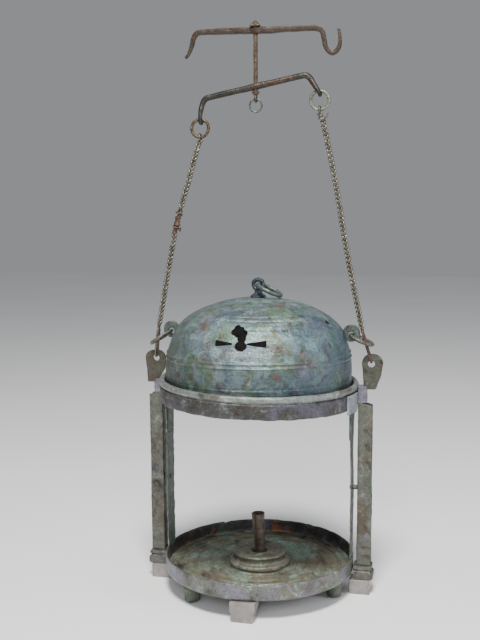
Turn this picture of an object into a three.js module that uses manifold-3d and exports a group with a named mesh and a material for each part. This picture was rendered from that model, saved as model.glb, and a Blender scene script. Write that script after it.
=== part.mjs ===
// Hanging lantern-form censer: footed pan with a central tube, two uprights, a frame ring that a pierced
// dome lid rests in, two plaited side chains, and a carrying bar that slides on a hooked handle's rod.
// Millimetres, +Z up. The lantern's axis is Z, its uprights stand on X, and Z = 0 is under the feet.
import * as THREE from 'three';
import { mergeVertices } from 'three/addons/utils/BufferGeometryUtils.js';
import Module from 'manifold-3d';

const wasm = await Module();
wasm.setup();

// ---------------------------------------------------------------- driving dimensions
const GAP = 0.3; // clearance between two pieces that touch

const PAN_R = 95; // outer radius of the pan
const PAN_BASE_Z = 19; // height of the pan's underside on its feet
const PAN_H = 16.2;
const PAN_WALL = 2.4;
const PAN_FLOOR = 2.8;
const PAN_RIDGE_H = 1.2;
const PAN_RIDGE_IN = 33; // from the pan's edge in to its turned ridge
const PAN_RIM_Z = PAN_BASE_Z + PAN_H;
const PAN_RIDGE_R = PAN_R - PAN_RIDGE_IN;

const PAN_FOOT_IN = 15; // from the pan's edge in to the middle of a foot
const PAN_FOOT_ANGLES = [227, 347, 107];
const PAN_FOOT_TOP_R = 10.4;
const PAN_FOOT_BASE_R = 7.6;
const PAN_FOOT_LIFT = 0.4; // the feet stop just above the pads' underside

const BOSS_BASE_R = 31;
const BOSS_TOP_R = 26.5;
const BOSS_STEP_H = 5.2;
const BOSS_H = 13.2;
const BOSS_SOCKET_DEPTH = 5.4;
const BOSS_SOCKET_SLACK = 2.4; // between the socket's wall and the tube

const TUBE_BASE_R = 5.2;
const TUBE_MOUTH_R = 6.6;
const TUBE_WALL = 1.1;
const TUBE_H = 42.5;
const BOSS_SOCKET_R = TUBE_BASE_R + BOSS_SOCKET_SLACK;

const CHAMBER_H = 156.1; // from the pan's rim up to the frame ring
const RING_STEP = 3.6; // how far the frame ring stands out past the pan
const RING_H = 21.1;
const RING_BAND = 3;
const RING_BEAD = 0.4; // how far the lip's bead stands out past the band
const RING_SEAT_RISE = 14.1; // from the ring's underside to the lid's seat
const RING_SEAT_T = 2;
const RING_SEAT_REACH = 8; // how far the seat reaches in under the lid's edge
const RING_R = PAN_R + RING_STEP;
const RING_BASE_Z = PAN_RIM_Z + CHAMBER_H;
const RING_LIP_Z = RING_BASE_Z + RING_H;
const RING_SEAT_Z = RING_BASE_Z + RING_SEAT_RISE;
const RING_OUT = RING_R + RING_BEAD + GAP; // where the pieces outside the ring begin

const SLEEVE_FROM = -21; // degrees round the ring
const SLEEVE_TO = -6;
const SLEEVE_T = 1.1;
const SLEEVE_H = 17.4;
const SLEEVE_DROP = 2.9; // how far it hangs below the ring

const POST_DEPTH = 13.6; // radial size of an upright
const POST_WIDTH = 12; // tangential size of an upright
const POST_WALL = 1.8;
const POST_CHAMFER = 2.6;
const POST_INNER_X = RING_R + 0.6;
const POST_TOP_Z = RING_BASE_Z - GAP;

const FOOT_BLOCK_W = 17; // collar round the foot of an upright
const FOOT_BLOCK_H = 13.8;
const FOOT_BLOCK_DROP = 4.4; // how far it hangs below the pan's underside
const FOOT_BLOCK_PROUD = 2.6; // how far it stands out past the upright
const FOOT_GROOVE = 1.4;
const FOOT_BLOCK_IN_X = PAN_R + 0.7;
const FOOT_BLOCK_OUT_X = POST_INNER_X + POST_DEPTH + FOOT_BLOCK_PROUD;
const FOOT_BLOCK_Z = PAN_BASE_Z - FOOT_BLOCK_DROP;

const PAD_W = 17; // clear pads under the collars
const PAD_LENGTH = 20.4;
const PAD_INSET = 3.7; // how far a pad reaches in past its collar
const PAD_H = FOOT_BLOCK_Z - GAP;
const FRONT_PAD = { x0: -6.4, x1: 14.6, flange: 1.5, depth: 19.4, step: 10, proud: 2.4 };

const LUG_DEPTH = 8.2;
const LUG_W = 11;
const LUG_TOP_DROP = 4.6; // from the ring's lip down to a lug's top

const STRIP_T = 1.2;
const STRIP_W = 22;
const STRIP_IN = 1.6; // from the pan's edge in to the middle of a strip
const STRIP_HOLE = 3.4;
const STRIP_X = PAN_R - STRIP_IN;
const STRIP_BASE_Z = PAN_RIM_Z + 0.8;
const STRIP_TOP_Z = POST_TOP_Z - 5;
const RIVET_R = 1.3;
const RIVET_SPACER_R = 2.3;
const RIVET_HEAD_R = 2.6;
const RIVET_HEAD_T = 1.1;
const RIVET_BELOW_MIDDLE = 5;
const RIVET_Z = (STRIP_BASE_Z + STRIP_TOP_Z) / 2 - RIVET_BELOW_MIDDLE;

const LID_SET_IN = 6.6; // from the ring's outside in to the lid's edge
const LID_WALL = 1.8;
const LID_RISE = 86.7; // from the lid's edge to its crown
const LID_RIDGES = [29.6, 33.8]; // above the lid's edge
const LID_CROWN_HOLE_R = 2.6;
const LID_SHOULDER = LID_RIDGES[1] + 2; // where the dome turns in, above its edge
const LID_R = RING_R - LID_SET_IN;
const LID_BASE_Z = RING_SEAT_Z + GAP;
const LID_CROWN_Z = LID_BASE_Z + LID_RISE;
const RING_SEAT_R = LID_R - RING_SEAT_REACH;

const VENT_BELOW_CROWN = 35.2; // middle of a vent's wedges
const VENT_CUT = 47; // how far in from the lid's edge a vent's cut reaches
const SIDE_VENT_R = 2.4;
const SIDE_VENT_ANGLE = -11.5;
const SIDE_VENT_BELOW_CROWN = 22.8;

const EYE_R = 4.5;
const EYE_WIRE_R = 1.9;
const EYE_NECK_R = 3.3;
const EYE_NECK_H = 12.5;
const EYE_SHANK_R = 2.2;
const EYE_RIVET_R = 4.6;
const EYE_RIVET_T = 1.6;
const EYE_Z = LID_CROWN_Z + EYE_NECK_H;

const LID_RING_R = 12.4;
const LID_RING_WIRE_R = 2.1;
const LID_RING_SLOPE = 25.5; // degrees below level as it lies

const EAR_DISC_R = 8.6;
const EAR_T = 2;
const EAR_Y = 4.7; // the ears stand just behind the chains
const EAR_HOLE_DROP = 1.4;
const EAR_SHARE = 0.296; // of the way from the lid's shoulder up to its crown
const EAR_HOLE_X = LID_R - 0.8;
const EAR_HOLE_Z = LID_BASE_Z + LID_SHOULDER + (LID_RISE - LID_SHOULDER) * EAR_SHARE;

const GUIDE_WIRE_R = 2;
const GUIDE_Y = 1.5; // middle of a guide ring
const GUIDE_RIGHT = { ring: 11.6, slope: 23 };
const GUIDE_LEFT = { ring: 12.1, slope: 33 };
const EAR_HOLE_R = GUIDE_WIRE_R + 0.9;

const HOOK_WIRE_R = 1.3;
const HOOK_HALF_W = 3.5;
const HOOK_H = 30.5; // from the tongue's hole up to the chain's end
const TONGUE_T = 3;
const TONGUE_LIP_GAP = 2; // least gap from the ring's lip to a tongue's broad part
const TONGUE_DROP = 8.4; // from the ring's lip down to a tongue's foot
const HOOK_DROP = 27.6; // from a lid ear's hole down to the tongue's, so the guide ring clears the hook link
const TONGUE_HOLE_R = HOOK_WIRE_R + 2.1;
const TONGUE_BASE_Z = RING_LIP_Z - TONGUE_DROP;
const TONGUE_HOLE_Z = EAR_HOLE_Z - HOOK_DROP;
const TONGUE_RIGHT = {
  x: POST_INNER_X + 13.4, half: 10.2, hole: POST_INNER_X + 12.4, top: TONGUE_HOLE_Z + 10,
};
const TONGUE_LEFT = {
  x: -POST_INNER_X - 8, half: 10.7, hole: -POST_INNER_X - 7.4, top: TONGUE_HOLE_Z + 8.4,
};

const HANG_H = 283.1; // from the ring's lip to the carrying bar
const CARRY_R = 3;
const CARRY_TIP_R = 1.9;
const CARRY_EYE_WALL = 3.4;
const CARRY_TILT = 10.7; // degrees, left end low
const CARRY_Z = RING_LIP_Z + HANG_H;

const ROD_X = -1.8;
const ROD_R = 2.2;
const ROD_LENGTH = 52.4; // from the carrying bar at rest up to the handle
const ROD_HEAD_H = 6;
const ROD_HEAD_HALF = 5.8;
const ROD_STOP_R = 3.9;
const ROD_EYE_R = 2.9;
const ROD_EYE_WIRE_R = 1.2;
const ROD_RING_R = 6;
const ROD_RING_WIRE_R = 0.9;
const HANDLE_R = 3.1;
const HANDLE_TIP_R = 1.9;
const HANDLE_EYE_WALL = 4.2;
const HANDLE_Z = CARRY_Z + ROD_LENGTH;
const ROD_HEAD_Z = HANDLE_Z + HANDLE_R + ROD_HEAD_H + 2 * GAP;
const ROD_STOP_Z = CARRY_Z - CARRY_R - 1.3;
const ROD_EYE_Z = ROD_STOP_Z - 7.2;

const TOP_RING_WIRE_R = 1.5;
const TOP_RING_LEFT = { x: -57.8, z: CARRY_Z - 38.3, r: 8.6 };
const TOP_RING_RIGHT = { x: 60.5, z: CARRY_Z - 15, r: 8.85 };

const CHAIN_R = 2.7;
const LOOP_WIRE_R = 1.2;
const LOOP_R = TOP_RING_WIRE_R + LOOP_WIRE_R + 0.5;

// ---------------------------------------------------------------- helpers
const rad = (deg) => (deg * Math.PI) / 180;
const v3 = (x, y, z) => new THREE.Vector3(x, y, z);

/** A triangle list with shared corners and positions only. */
function welded(geometry) {
  const g = geometry.index ? geometry.toNonIndexed() : geometry.clone();
  for (const name of Object.keys(g.attributes)) if (name !== 'position') g.deleteAttribute(name);
  return mergeVertices(g, 1e-4);
}

function solid(geometry) {
  const g = welded(geometry);
  return new wasm.Manifold(
    new wasm.Mesh({
      numProp: 3,
      vertProperties: new Float32Array(g.attributes.position.array),
      triVerts: new Uint32Array(g.index.array),
    }),
  );
}

function shell(manifold) {
  const m = manifold.getMesh();
  const g = new THREE.BufferGeometry();
  g.setAttribute('position', new THREE.BufferAttribute(new Float32Array(m.vertProperties), 3));
  g.setIndex(new THREE.BufferAttribute(new Uint32Array(m.triVerts), 1));
  return g;
}

const join = (...parts) => shell(parts.map(solid).reduce((a, b) => a.add(b)));
const cut = (body, ...tools) => shell(tools.map(solid).reduce((a, b) => a.subtract(b), solid(body)));

/** A bar of round section along a curve, with a radius for each share of its length. */
function bar(points, radiusAt, { steps = 24, sides = 8, closed = false, flat = 1 } = {}) {
  const curve = new THREE.CatmullRomCurve3(points, closed, 'centripetal');
  const frames = curve.computeFrenetFrames(steps, closed);
  const count = closed ? steps : steps + 1;
  const pos = [];
  for (let i = 0; i < count; i++) {
    const p = curve.getPointAt(i / steps);
    const r = radiusAt(i / steps);
    for (let s = 0; s < sides; s++) {
      const a = ((s + 0.5) / sides) * 2 * Math.PI;
      const q = p.clone().addScaledVector(frames.normals[i], Math.cos(a) * r);
      q.addScaledVector(frames.binormals[i], Math.sin(a) * r * flat);
      pos.push(q.x, q.y, q.z);
    }
  }
  const idx = [];
  const rows = closed ? count : count - 1;
  for (let i = 0; i < rows; i++) {
    for (let s = 0; s < sides; s++) {
      const a = i * sides + s;
      const b = i * sides + ((s + 1) % sides);
      const c = ((i + 1) % count) * sides + s;
      const d = ((i + 1) % count) * sides + ((s + 1) % sides);
      idx.push(a, b, d, a, d, c);
    }
  }
  if (!closed) {
    const last = (count - 1) * sides;
    for (let s = 1; s < sides - 1; s++) {
      idx.push(0, s + 1, s, last, last + s, last + s + 1);
    }
  }
  const g = new THREE.BufferGeometry();
  g.setAttribute('position', new THREE.Float32BufferAttribute(pos, 3));
  g.setIndex(idx);
  return g;
}

/** A ring of wire in the XZ plane. */
function ringXZ(radius, wire, steps = 22, sides = 8) {
  return new THREE.TorusGeometry(radius, wire, sides, steps).rotateX(Math.PI / 2);
}

/** A ring of wire in the YZ plane. */
function ringYZ(radius, wire, steps = 14, sides = 6) {
  return new THREE.TorusGeometry(radius, wire, sides, steps).rotateY(Math.PI / 2);
}

/** A solid of revolution about Z from pairs of radius and height. */
function turned(pairs, steps = 48) {
  const points = pairs.map(([r, z]) => new THREE.Vector2(r, z));
  return new THREE.LatheGeometry(points, steps).rotateX(Math.PI / 2);
}

function rodZ(radius, from, to, steps = 14) {
  return new THREE.CylinderGeometry(radius, radius, to - from, steps)
    .rotateX(Math.PI / 2)
    .translate(0, 0, (from + to) / 2);
}

function rodX(radius, from, to, steps = 12) {
  return new THREE.CylinderGeometry(radius, radius, Math.abs(to - from), steps)
    .rotateZ(Math.PI / 2)
    .translate((from + to) / 2, 0, 0);
}

function rodY(radius, from, to, steps = 16) {
  return new THREE.CylinderGeometry(radius, radius, to - from, steps).translate(0, (from + to) / 2, 0);
}

function block(x0, x1, y0, y1, z0, z1) {
  return new THREE.BoxGeometry(x1 - x0, y1 - y0, z1 - z0).translate(
    (x0 + x1) / 2, (y0 + y1) / 2, (z0 + z1) / 2);
}

/** An outline drawn in X and Z, given a thickness along Y. */
function plateXZ(shape, thickness) {
  return new THREE.ExtrudeGeometry(shape, { depth: thickness, bevelEnabled: false, curveSegments: 12 })
    .rotateX(Math.PI / 2)
    .translate(0, thickness / 2, 0);
}

function outline(pairs) {
  return new THREE.Shape(pairs.map(([x, y]) => new THREE.Vector2(x, y)));
}

const bronze = (color, roughness = 0.62) =>
  new THREE.MeshStandardMaterial({ color, roughness, metalness: 0.75 });
const clear = () =>
  new THREE.MeshStandardMaterial({
    color: '#cfc3c4', roughness: 0.35, metalness: 0, transparent: true, opacity: 0.7,
  });

const censer = new THREE.Group();
censer.name = 'hanging_lantern_censer';

function add(name, geometry, material, group = censer) {
  const mesh = new THREE.Mesh(geometry, material);
  mesh.name = name;
  group.add(mesh);
  return mesh;
}

// ---------------------------------------------------------------- hooked handle and lift rod
function hookedHandle() {
  const at = (x, above) => v3(x, 0, HANDLE_Z + above);
  const path = [
    at(-71.6, -22.9), at(-67.4, -17.3), at(-64.6, -10.9), at(-63.4, -4.5), at(-59, 0.3), at(-50, 0.9),
    at(-26, 0.5), at(ROD_X, 0), at(30, -0.3), at(54, -0.5), at(61.6, -3.3), at(64.4, -10.9), at(66.2, -19.3),
    at(71.7, -24.3), at(77.4, -20.5), at(79.6, -12.7), at(78.4, -1.5),
  ];
  const taper = (t) => {
    const edge = Math.min(t, 1 - t) / 0.5;
    return HANDLE_TIP_R + (HANDLE_R - HANDLE_TIP_R) * Math.min(1, edge * 1.5);
  };
  const body = bar(path, taper, { steps: 46 });
  const eye = rodZ(ROD_R + HANDLE_EYE_WALL, HANDLE_Z - HANDLE_R, HANDLE_Z + HANDLE_R, 16)
    .scale(1.25, 0.9, 1)
    .translate(ROD_X, 0, 0);
  const hole = rodZ(ROD_R + 1.5 * GAP, HANDLE_Z - 10, HANDLE_Z + 10).translate(ROD_X, 0, 0);
  return cut(join(body, eye), hole);
}

function liftRod() {
  const shaft = rodZ(ROD_R, ROD_STOP_Z - 1, ROD_HEAD_Z - ROD_HEAD_H + 1);
  const head = new THREE.CylinderGeometry(0.6, ROD_HEAD_HALF * Math.SQRT2, ROD_HEAD_H, 4)
    .rotateY(Math.PI / 4)
    .rotateX(Math.PI / 2)
    .translate(0, 0, ROD_HEAD_Z - ROD_HEAD_H / 2);
  const stop = turned([[0, ROD_STOP_Z], [ROD_STOP_R, ROD_STOP_Z], [ROD_STOP_R, ROD_STOP_Z - 1.4],
    [1.5, ROD_EYE_Z + 2.2], [0, ROD_EYE_Z + 2.2]].reverse(), 20);
  const eye = ringYZ(ROD_EYE_R, ROD_EYE_WIRE_R).translate(0, 0, ROD_EYE_Z);
  return join(shaft, head, stop, eye).translate(ROD_X, 0, 0);
}

function carryingBar() {
  const left = TOP_RING_LEFT;
  const right = TOP_RING_RIGHT;
  const wrap = TOP_RING_WIRE_R + GAP + CARRY_TIP_R;
  const leftZ = left.z + left.r;
  const rightZ = right.z + right.r;
  const path = [
    v3(left.x, wrap, leftZ + 1), v3(left.x, wrap * 0.72, leftZ - wrap * 0.75), v3(left.x, 0, leftZ - wrap),
    v3(left.x, -wrap * 0.8, leftZ - wrap * 0.72), v3(left.x, -wrap - 0.3, leftZ + 1.2),
    v3(left.x - 0.2, -2.6, leftZ + 8), v3(left.x + 1.6, -0.6, leftZ + 15), v3(-51, 0, CARRY_Z - 9.9),
    v3(-42, 0, CARRY_Z - 7.5), v3(ROD_X, 0, CARRY_Z), v3(30, 0, CARRY_Z + 6), v3(46, 0, CARRY_Z + 9.1),
    v3(54, 0, CARRY_Z + 7.5), v3(58.6, -0.8, CARRY_Z + 3.1), v3(right.x - 0.6, -3.4, rightZ + 4.6),
    v3(right.x, -wrap - 0.2, rightZ), v3(right.x, -wrap * 0.72, rightZ - wrap * 0.75),
    v3(right.x, 0, rightZ - wrap), v3(right.x, wrap * 0.8, rightZ - wrap * 0.7),
    v3(right.x, wrap + 0.1, rightZ + 1),
  ];
  const taper = (t) => {
    const edge = Math.min(t, 1 - t);
    if (edge < 0.1) return CARRY_TIP_R;
    return CARRY_TIP_R + (CARRY_R - CARRY_TIP_R) * Math.min(1, (edge - 0.1) / 0.1);
  };
  const body = bar(path, taper, { steps: 54 });
  const eye = rodZ(ROD_R + CARRY_EYE_WALL, -CARRY_R, CARRY_R, 16).scale(1.3, 0.9, 1).rotateY(-rad(CARRY_TILT))
    .translate(ROD_X, 0, CARRY_Z);
  const hole = rodZ(ROD_R + 1.7 * GAP, CARRY_Z - 15, CARRY_Z + 15).translate(ROD_X, 0, 0);
  return cut(join(body, eye), hole);
}

// ---------------------------------------------------------------- side chains
function topLoop(ring) {
  return ringYZ(LOOP_R, LOOP_WIRE_R).translate(ring.x, 0, ring.z - ring.r);
}

function hookLink(top, bottom) {
  const dir = bottom.clone().sub(top).normalize();
  const y = v3(0, 1, 0);
  const at = (along, side) => top.clone().addScaledVector(dir, along).addScaledVector(y, side);
  const length = top.distanceTo(bottom);
  const w = HOOK_HALF_W;
  const path = [
    at(0, 0), at(0.9, w * 0.72), at(3.2, w), at(length / 2, w), at(length - 3.2, w), at(length - 0.9, w * 0.72),
    at(length, 0), at(length - 0.9, -w * 0.72), at(length - 3.2, -w), at(length / 2, -w), at(3.2, -w),
    at(0.9, -w * 0.72),
  ];
  return bar(path, () => HOOK_WIRE_R, { steps: 24, sides: 6, closed: true });
}

const even = () => CHAIN_R;
const hookEnd = (tongue) => v3(tongue.hole, 0, TONGUE_HOLE_Z + TONGUE_HOLE_R - HOOK_WIRE_R - 2 * GAP);
const RIGHT_CHAIN_END = hookEnd(TONGUE_RIGHT).add(v3(-9, 0, HOOK_H));
const LEFT_CHAIN_END = hookEnd(TONGUE_LEFT).add(v3(3.2, 0, HOOK_H));
const chainTop = (ring, side) => v3(ring.x + side * 0.6, 0, ring.z - ring.r - LOOP_R - 0.6);

/** A point a share of the way down a chain, set out from the straight line by its bow. */
function along(ring, side, end, share, bow) {
  return chainTop(ring, side).lerp(end, share).add(v3(side * bow, 0, 0));
}
const onRight = (share, bow) => along(TOP_RING_RIGHT, 1, RIGHT_CHAIN_END, share, bow);
const onLeft = (share, bow) => along(TOP_RING_LEFT, -1, LEFT_CHAIN_END, share, bow);
const LEFT_JOINT = { from: 0.363, to: 0.5, bow: 4.6 };

function rightChain() {
  const path = [chainTop(TOP_RING_RIGHT, 1), onRight(0.045, 1.2), onRight(0.32, 1.6), onRight(0.64, -0.2),
    RIGHT_CHAIN_END];
  return join(bar(path, even, { steps: 14 }), topLoop(TOP_RING_RIGHT));
}

function leftChainUpper() {
  const path = [chainTop(TOP_RING_LEFT, -1), onLeft(0.045, 1), onLeft(0.2, 2.3),
    onLeft(LEFT_JOINT.from, LEFT_JOINT.bow)];
  return join(bar(path, even, { steps: 8 }), topLoop(TOP_RING_LEFT));
}

function leftRepairLink() {
  const { from, to, bow } = LEFT_JOINT;
  const inset = 0.006;
  const shares = [from + inset, from * 0.6 + to * 0.4, from * 0.4 + to * 0.6, to - inset];
  const path = shares.map((s) => onLeft(s, bow));
  return bar(path, (t) => CHAIN_R * (0.9 + 0.45 * Math.sin(t * Math.PI)), { steps: 8 });
}

function leftChainLower() {
  const path = [onLeft(LEFT_JOINT.to, LEFT_JOINT.bow), onLeft(0.64, 3.4), onLeft(0.84, 1.5), LEFT_CHAIN_END];
  return bar(path, even, { steps: 10 });
}

const hookTop = (end) => end.clone().add(v3(Math.sign(end.x) * 0.4, 0, -GAP - HOOK_WIRE_R - 0.3));

// ---------------------------------------------------------------- lid
const [LOW_RIDGE, HIGH_RIDGE] = LID_RIDGES;
const share = (s) => LID_SHOULDER + (LID_RISE - LID_SHOULDER) * s;

/** Outer profile of the dome: how far in from its edge, and the height above it. */
const DOME = [
  [0, 0], [-0.2, LOW_RIDGE / 2], [0.3, LOW_RIDGE - 1], [-0.5, LOW_RIDGE], [0.3, HIGH_RIDGE], [2.2, LID_SHOULDER],
  [4.2, share(0.16)], [8.2, share(0.34)], [15, share(0.51)], [24, share(0.66)], [40, share(0.82)],
  [60, share(0.94)], [80, share(0.995)],
];
const INNER_FROM = 6; // the inner wall is smooth up to this row of the outer profile

function domeProfile(offset) {
  return DOME.map(([inset, h]) => [LID_R - inset + offset, LID_BASE_Z + h + (h > LID_SHOULDER ? offset : 0)]);
}

function domeShell() {
  const wall = LID_R - LID_WALL;
  const inner = [[wall, LID_BASE_Z], [wall, LID_BASE_Z + LID_SHOULDER],
    ...domeProfile(-LID_WALL).slice(INNER_FROM)];
  const crown = [[LID_CROWN_HOLE_R, LID_CROWN_Z], [LID_CROWN_HOLE_R, LID_CROWN_Z - LID_WALL]];
  const loop = [...domeProfile(0), ...crown, ...inner.reverse()];
  return turned([...loop, loop[0]]);
}

/** Pierced vent: a lobed group of drilled holes over two more holes, with a wedge to each side. */
function ventTools() {
  const z = LID_CROWN_Z - VENT_BELOW_CROWN;
  const from = LID_R - VENT_CUT;
  const to = LID_R + 18;
  const hole = (x, above, r) => rodY(r, -to, -from, 10).translate(x, 0, z + above);
  const wedge = (x0, x1, half) =>
    new THREE.ExtrudeGeometry(outline([[x0, z], [x1, z - half], [x1 * 1.02, z], [x1, z + half]]),
      { depth: to - from, bevelEnabled: false }).rotateX(Math.PI / 2).translate(0, -from, 0);
  const lobes = [[-7.8, 10.1], [-5.6, 14.5], [-2.2, 12.1], [2.8, 9.1], [-4.6, 8.3]];
  return [
    ...lobes.map(([x, above]) => hole(x, above, 2.9)), hole(-4.8, 11.5, 3.4), hole(0.9, 3.9, 4.4),
    hole(0.4, -3.2, 5), wedge(-6.2, -22.4, 2.7), wedge(7.2, 24.2, 3),
  ];
}

function lidDome() {
  const front = ventTools();
  const back = ventTools().map((g) => g.rotateZ(Math.PI));
  const side = [0, 180].map((turn) =>
    rodX(SIDE_VENT_R, LID_R - 42, LID_R - 2, 8)
      .translate(0, 0, LID_CROWN_Z - SIDE_VENT_BELOW_CROWN)
      .rotateZ(rad(SIDE_VENT_ANGLE + turn)));
  return cut(domeShell(), ...front, ...back, ...side);
}

function lidEye() {
  const inside = LID_CROWN_Z - LID_WALL - GAP;
  const ring = ringXZ(EYE_R, EYE_WIRE_R, 16).translate(0, 0, EYE_Z);
  const neck = rodZ(EYE_NECK_R, LID_CROWN_Z + GAP, EYE_Z - EYE_R);
  const shank = rodZ(EYE_SHANK_R, inside - EYE_RIVET_T / 2, LID_CROWN_Z + 1);
  const rivet = rodZ(EYE_RIVET_R, inside - EYE_RIVET_T, inside);
  return join(ring, neck, shank, rivet);
}

/** A round ear with the guide ring's hole, shaped to the dome's wall. */
function lidEar(side) {
  const z = EAR_HOLE_Z + EAR_HOLE_DROP;
  const disc = rodY(EAR_DISC_R, EAR_Y - EAR_T / 2, EAR_Y + EAR_T / 2, 20).translate(side * EAR_HOLE_X, 0, z);
  const hole = rodY(EAR_HOLE_R, 0, 10).translate(side * EAR_HOLE_X, 0, EAR_HOLE_Z);
  const dome = domeProfile(GAP);
  return cut(disc, hole, turned([[0, LID_BASE_Z - 10], [LID_R + GAP, LID_BASE_Z - 10], ...dome,
    [0, LID_CROWN_Z + GAP]]));
}

/** A ring through an ear's hole and round the chain, sloping down and out from the hole. */
function guideRing(side, { ring, slope }) {
  const reach = Math.sqrt(ring * ring - (EAR_Y - GUIDE_Y) ** 2);
  return new THREE.TorusGeometry(ring, GUIDE_WIRE_R, 8, 24)
    .translate(reach, 0, 0)
    .rotateY(rad(slope))
    .rotateZ(side > 0 ? 0 : Math.PI)
    .translate(side * EAR_HOLE_X, GUIDE_Y, EAR_HOLE_Z);
}

function lidRing() {
  return new THREE.TorusGeometry(LID_RING_R, LID_RING_WIRE_R, 8, 26)
    .translate(LID_RING_R, 0, 0)
    .rotateY(rad(LID_RING_SLOPE))
    .translate(0, 0, EYE_Z);
}

// ---------------------------------------------------------------- frame ring, lugs and tongues
function frameRing() {
  const lip = RING_LIP_Z;
  const inner = RING_R - RING_BAND;
  const under = RING_SEAT_Z - RING_SEAT_T;
  const loop = [
    [inner, RING_BASE_Z], [RING_R, RING_BASE_Z], [RING_R, lip - 5.6], [RING_R + RING_BEAD, lip - 4],
    [RING_R - 0.2, lip - 1.4], [RING_R - 2.4, lip], [RING_R - 4.6, lip - 1], [RING_R - 5.3, lip - 3.4],
    [RING_R - 4.8, RING_SEAT_Z],
    [RING_SEAT_R, RING_SEAT_Z], [RING_SEAT_R, under], [inner, under],
  ];
  return turned([...loop, loop[0]], 56);
}

/** A repair sleeve clasped on the ring's band. */
function ringSleeve() {
  const steps = 8;
  const outer = [];
  const inner = [];
  const low = [];
  for (let i = 0; i <= steps; i++) {
    const a = rad(SLEEVE_FROM + ((SLEEVE_TO - SLEEVE_FROM) * i) / steps);
    outer.push([Math.cos(a) * (RING_R + GAP + SLEEVE_T), Math.sin(a) * (RING_R + GAP + SLEEVE_T)]);
    inner.push([Math.cos(a) * (RING_R + GAP), Math.sin(a) * (RING_R + GAP)]);
  }
  low.push(...outer, ...inner.reverse());
  return new THREE.ExtrudeGeometry(outline(low), { depth: SLEEVE_H, bevelEnabled: false })
    .translate(0, 0, RING_BASE_Z - SLEEVE_DROP);
}

function ringLug(side) {
  const body = block(RING_OUT - 0.2, RING_OUT + LUG_DEPTH, -LUG_W / 2, LUG_W / 2, POST_TOP_Z + GAP,
    RING_LIP_Z - LUG_TOP_DROP);
  const clearOfRing = turned([[0, 0], [RING_OUT, 0], [RING_OUT, RING_LIP_Z + 9], [0, RING_LIP_Z + 9]], 56);
  return cut(side > 0 ? body : body.rotateZ(Math.PI), clearOfRing);
}

/** Tongue that a chain's hook hangs in: rounded above, narrow below, standing on its lug. */
function tongue(t, side) {
  const s = (x) => t.x + side * x;
  const lugOut = RING_OUT + LUG_DEPTH;
  const foot = side * (lugOut + GAP);
  const shoulder = RING_LIP_Z - LUG_TOP_DROP + GAP;
  const waist = Math.max(t.top - 19, RING_LIP_Z + TONGUE_LIP_GAP);
  const shape = new THREE.Shape();
  shape.moveTo(foot, TONGUE_BASE_Z);
  shape.lineTo(side * (lugOut + 8.4), TONGUE_BASE_Z);
  shape.lineTo(s(t.half * 0.86), waist - 1);
  shape.lineTo(s(t.half), t.top - 9);
  shape.bezierCurveTo(s(t.half), t.top - 3.5, s(t.half * 0.55), t.top, s(0), t.top);
  shape.bezierCurveTo(s(-t.half * 0.55), t.top, s(-t.half), t.top - 3.5, s(-t.half), t.top - 9);
  shape.lineTo(s(-t.half * 0.92), waist);
  shape.lineTo(side * (lugOut - 3.4), shoulder);
  shape.lineTo(foot, shoulder);
  shape.closePath();
  const hole = rodY(TONGUE_HOLE_R, -10, 10).translate(t.hole, 0, TONGUE_HOLE_Z);
  return cut(plateXZ(shape, TONGUE_T), hole);
}

// ---------------------------------------------------------------- uprights
/** Upright folded from sheet as a channel that is open on its outer side. */
function post(side) {
  const x0 = POST_INNER_X;
  const x1 = POST_INNER_X + POST_DEPTH;
  const h = POST_WIDTH / 2;
  const w = POST_WALL;
  const section = outline([[x0, -h], [x1, -h], [x1, -h + w], [x0 + w, -h + w], [x0 + w, h - w], [x1, h - w],
    [x1, h], [x0, h]]);
  const base = FOOT_BLOCK_Z + FOOT_BLOCK_H + GAP;
  const body = new THREE.ExtrudeGeometry(section, { depth: POST_TOP_Z - base, bevelEnabled: false })
    .translate(0, 0, base);
  const corner = new THREE.BoxGeometry(POST_CHAMFER * 2, 40, POST_CHAMFER * 2)
    .rotateY(Math.PI / 4)
    .translate(x1 + 0.4, 0, POST_TOP_Z + 0.4);
  const g = cut(body, corner);
  return side > 0 ? g : g.rotateZ(Math.PI);
}

function postFoot(side) {
  const x0 = FOOT_BLOCK_IN_X;
  const x1 = FOOT_BLOCK_OUT_X;
  const z0 = FOOT_BLOCK_Z;
  const z1 = FOOT_BLOCK_Z + FOOT_BLOCK_H;
  const g = FOOT_GROOVE;
  const rim = outline([
    [x0, z0], [x1 - 1.6, z0], [x1, z0 + 1.6], [x1, z0 + 6.4], [x1 - 1.4, z0 + 7.6], [x1 - g - 1.6, z0 + 8],
    [x1 - g - 1.6, z0 + 10.2], [x1 - g, z0 + 10.6], [x1 - g, z1 - 0.8], [x1 - g - 0.8, z1], [x0, z1],
  ]);
  const body = plateXZ(rim, FOOT_BLOCK_W);
  const wide = FOOT_BLOCK_W / 2;
  const grooves = [-1, 1].map((s) =>
    block(x0 - 5, x1 + 5, Math.min(s * (wide - g), s * (wide + 5)), Math.max(s * (wide - g), s * (wide + 5)),
      z0 + 8, z0 + 10.2));
  const panWall = turned([[0, 0], [PAN_R + GAP, 0], [PAN_R + GAP, 60], [0, 60]], 56);
  const made = cut(body, ...grooves, panWall);
  return side > 0 ? made : made.rotateZ(Math.PI);
}

function innerStrip(side) {
  const x = side * STRIP_X;
  const body = block(x - STRIP_T / 2, x + STRIP_T / 2, -STRIP_W / 2, STRIP_W / 2, STRIP_BASE_Z, STRIP_TOP_Z);
  const half = STRIP_HOLE / 2;
  const hole = side > 0
    ? rodX(RIVET_R + GAP, x - 5, x + 5).translate(0, 0, RIVET_Z)
    : block(x - 5, x + 5, -half, half, RIVET_Z - half, RIVET_Z + half);
  return cut(body, hole);
}

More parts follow.
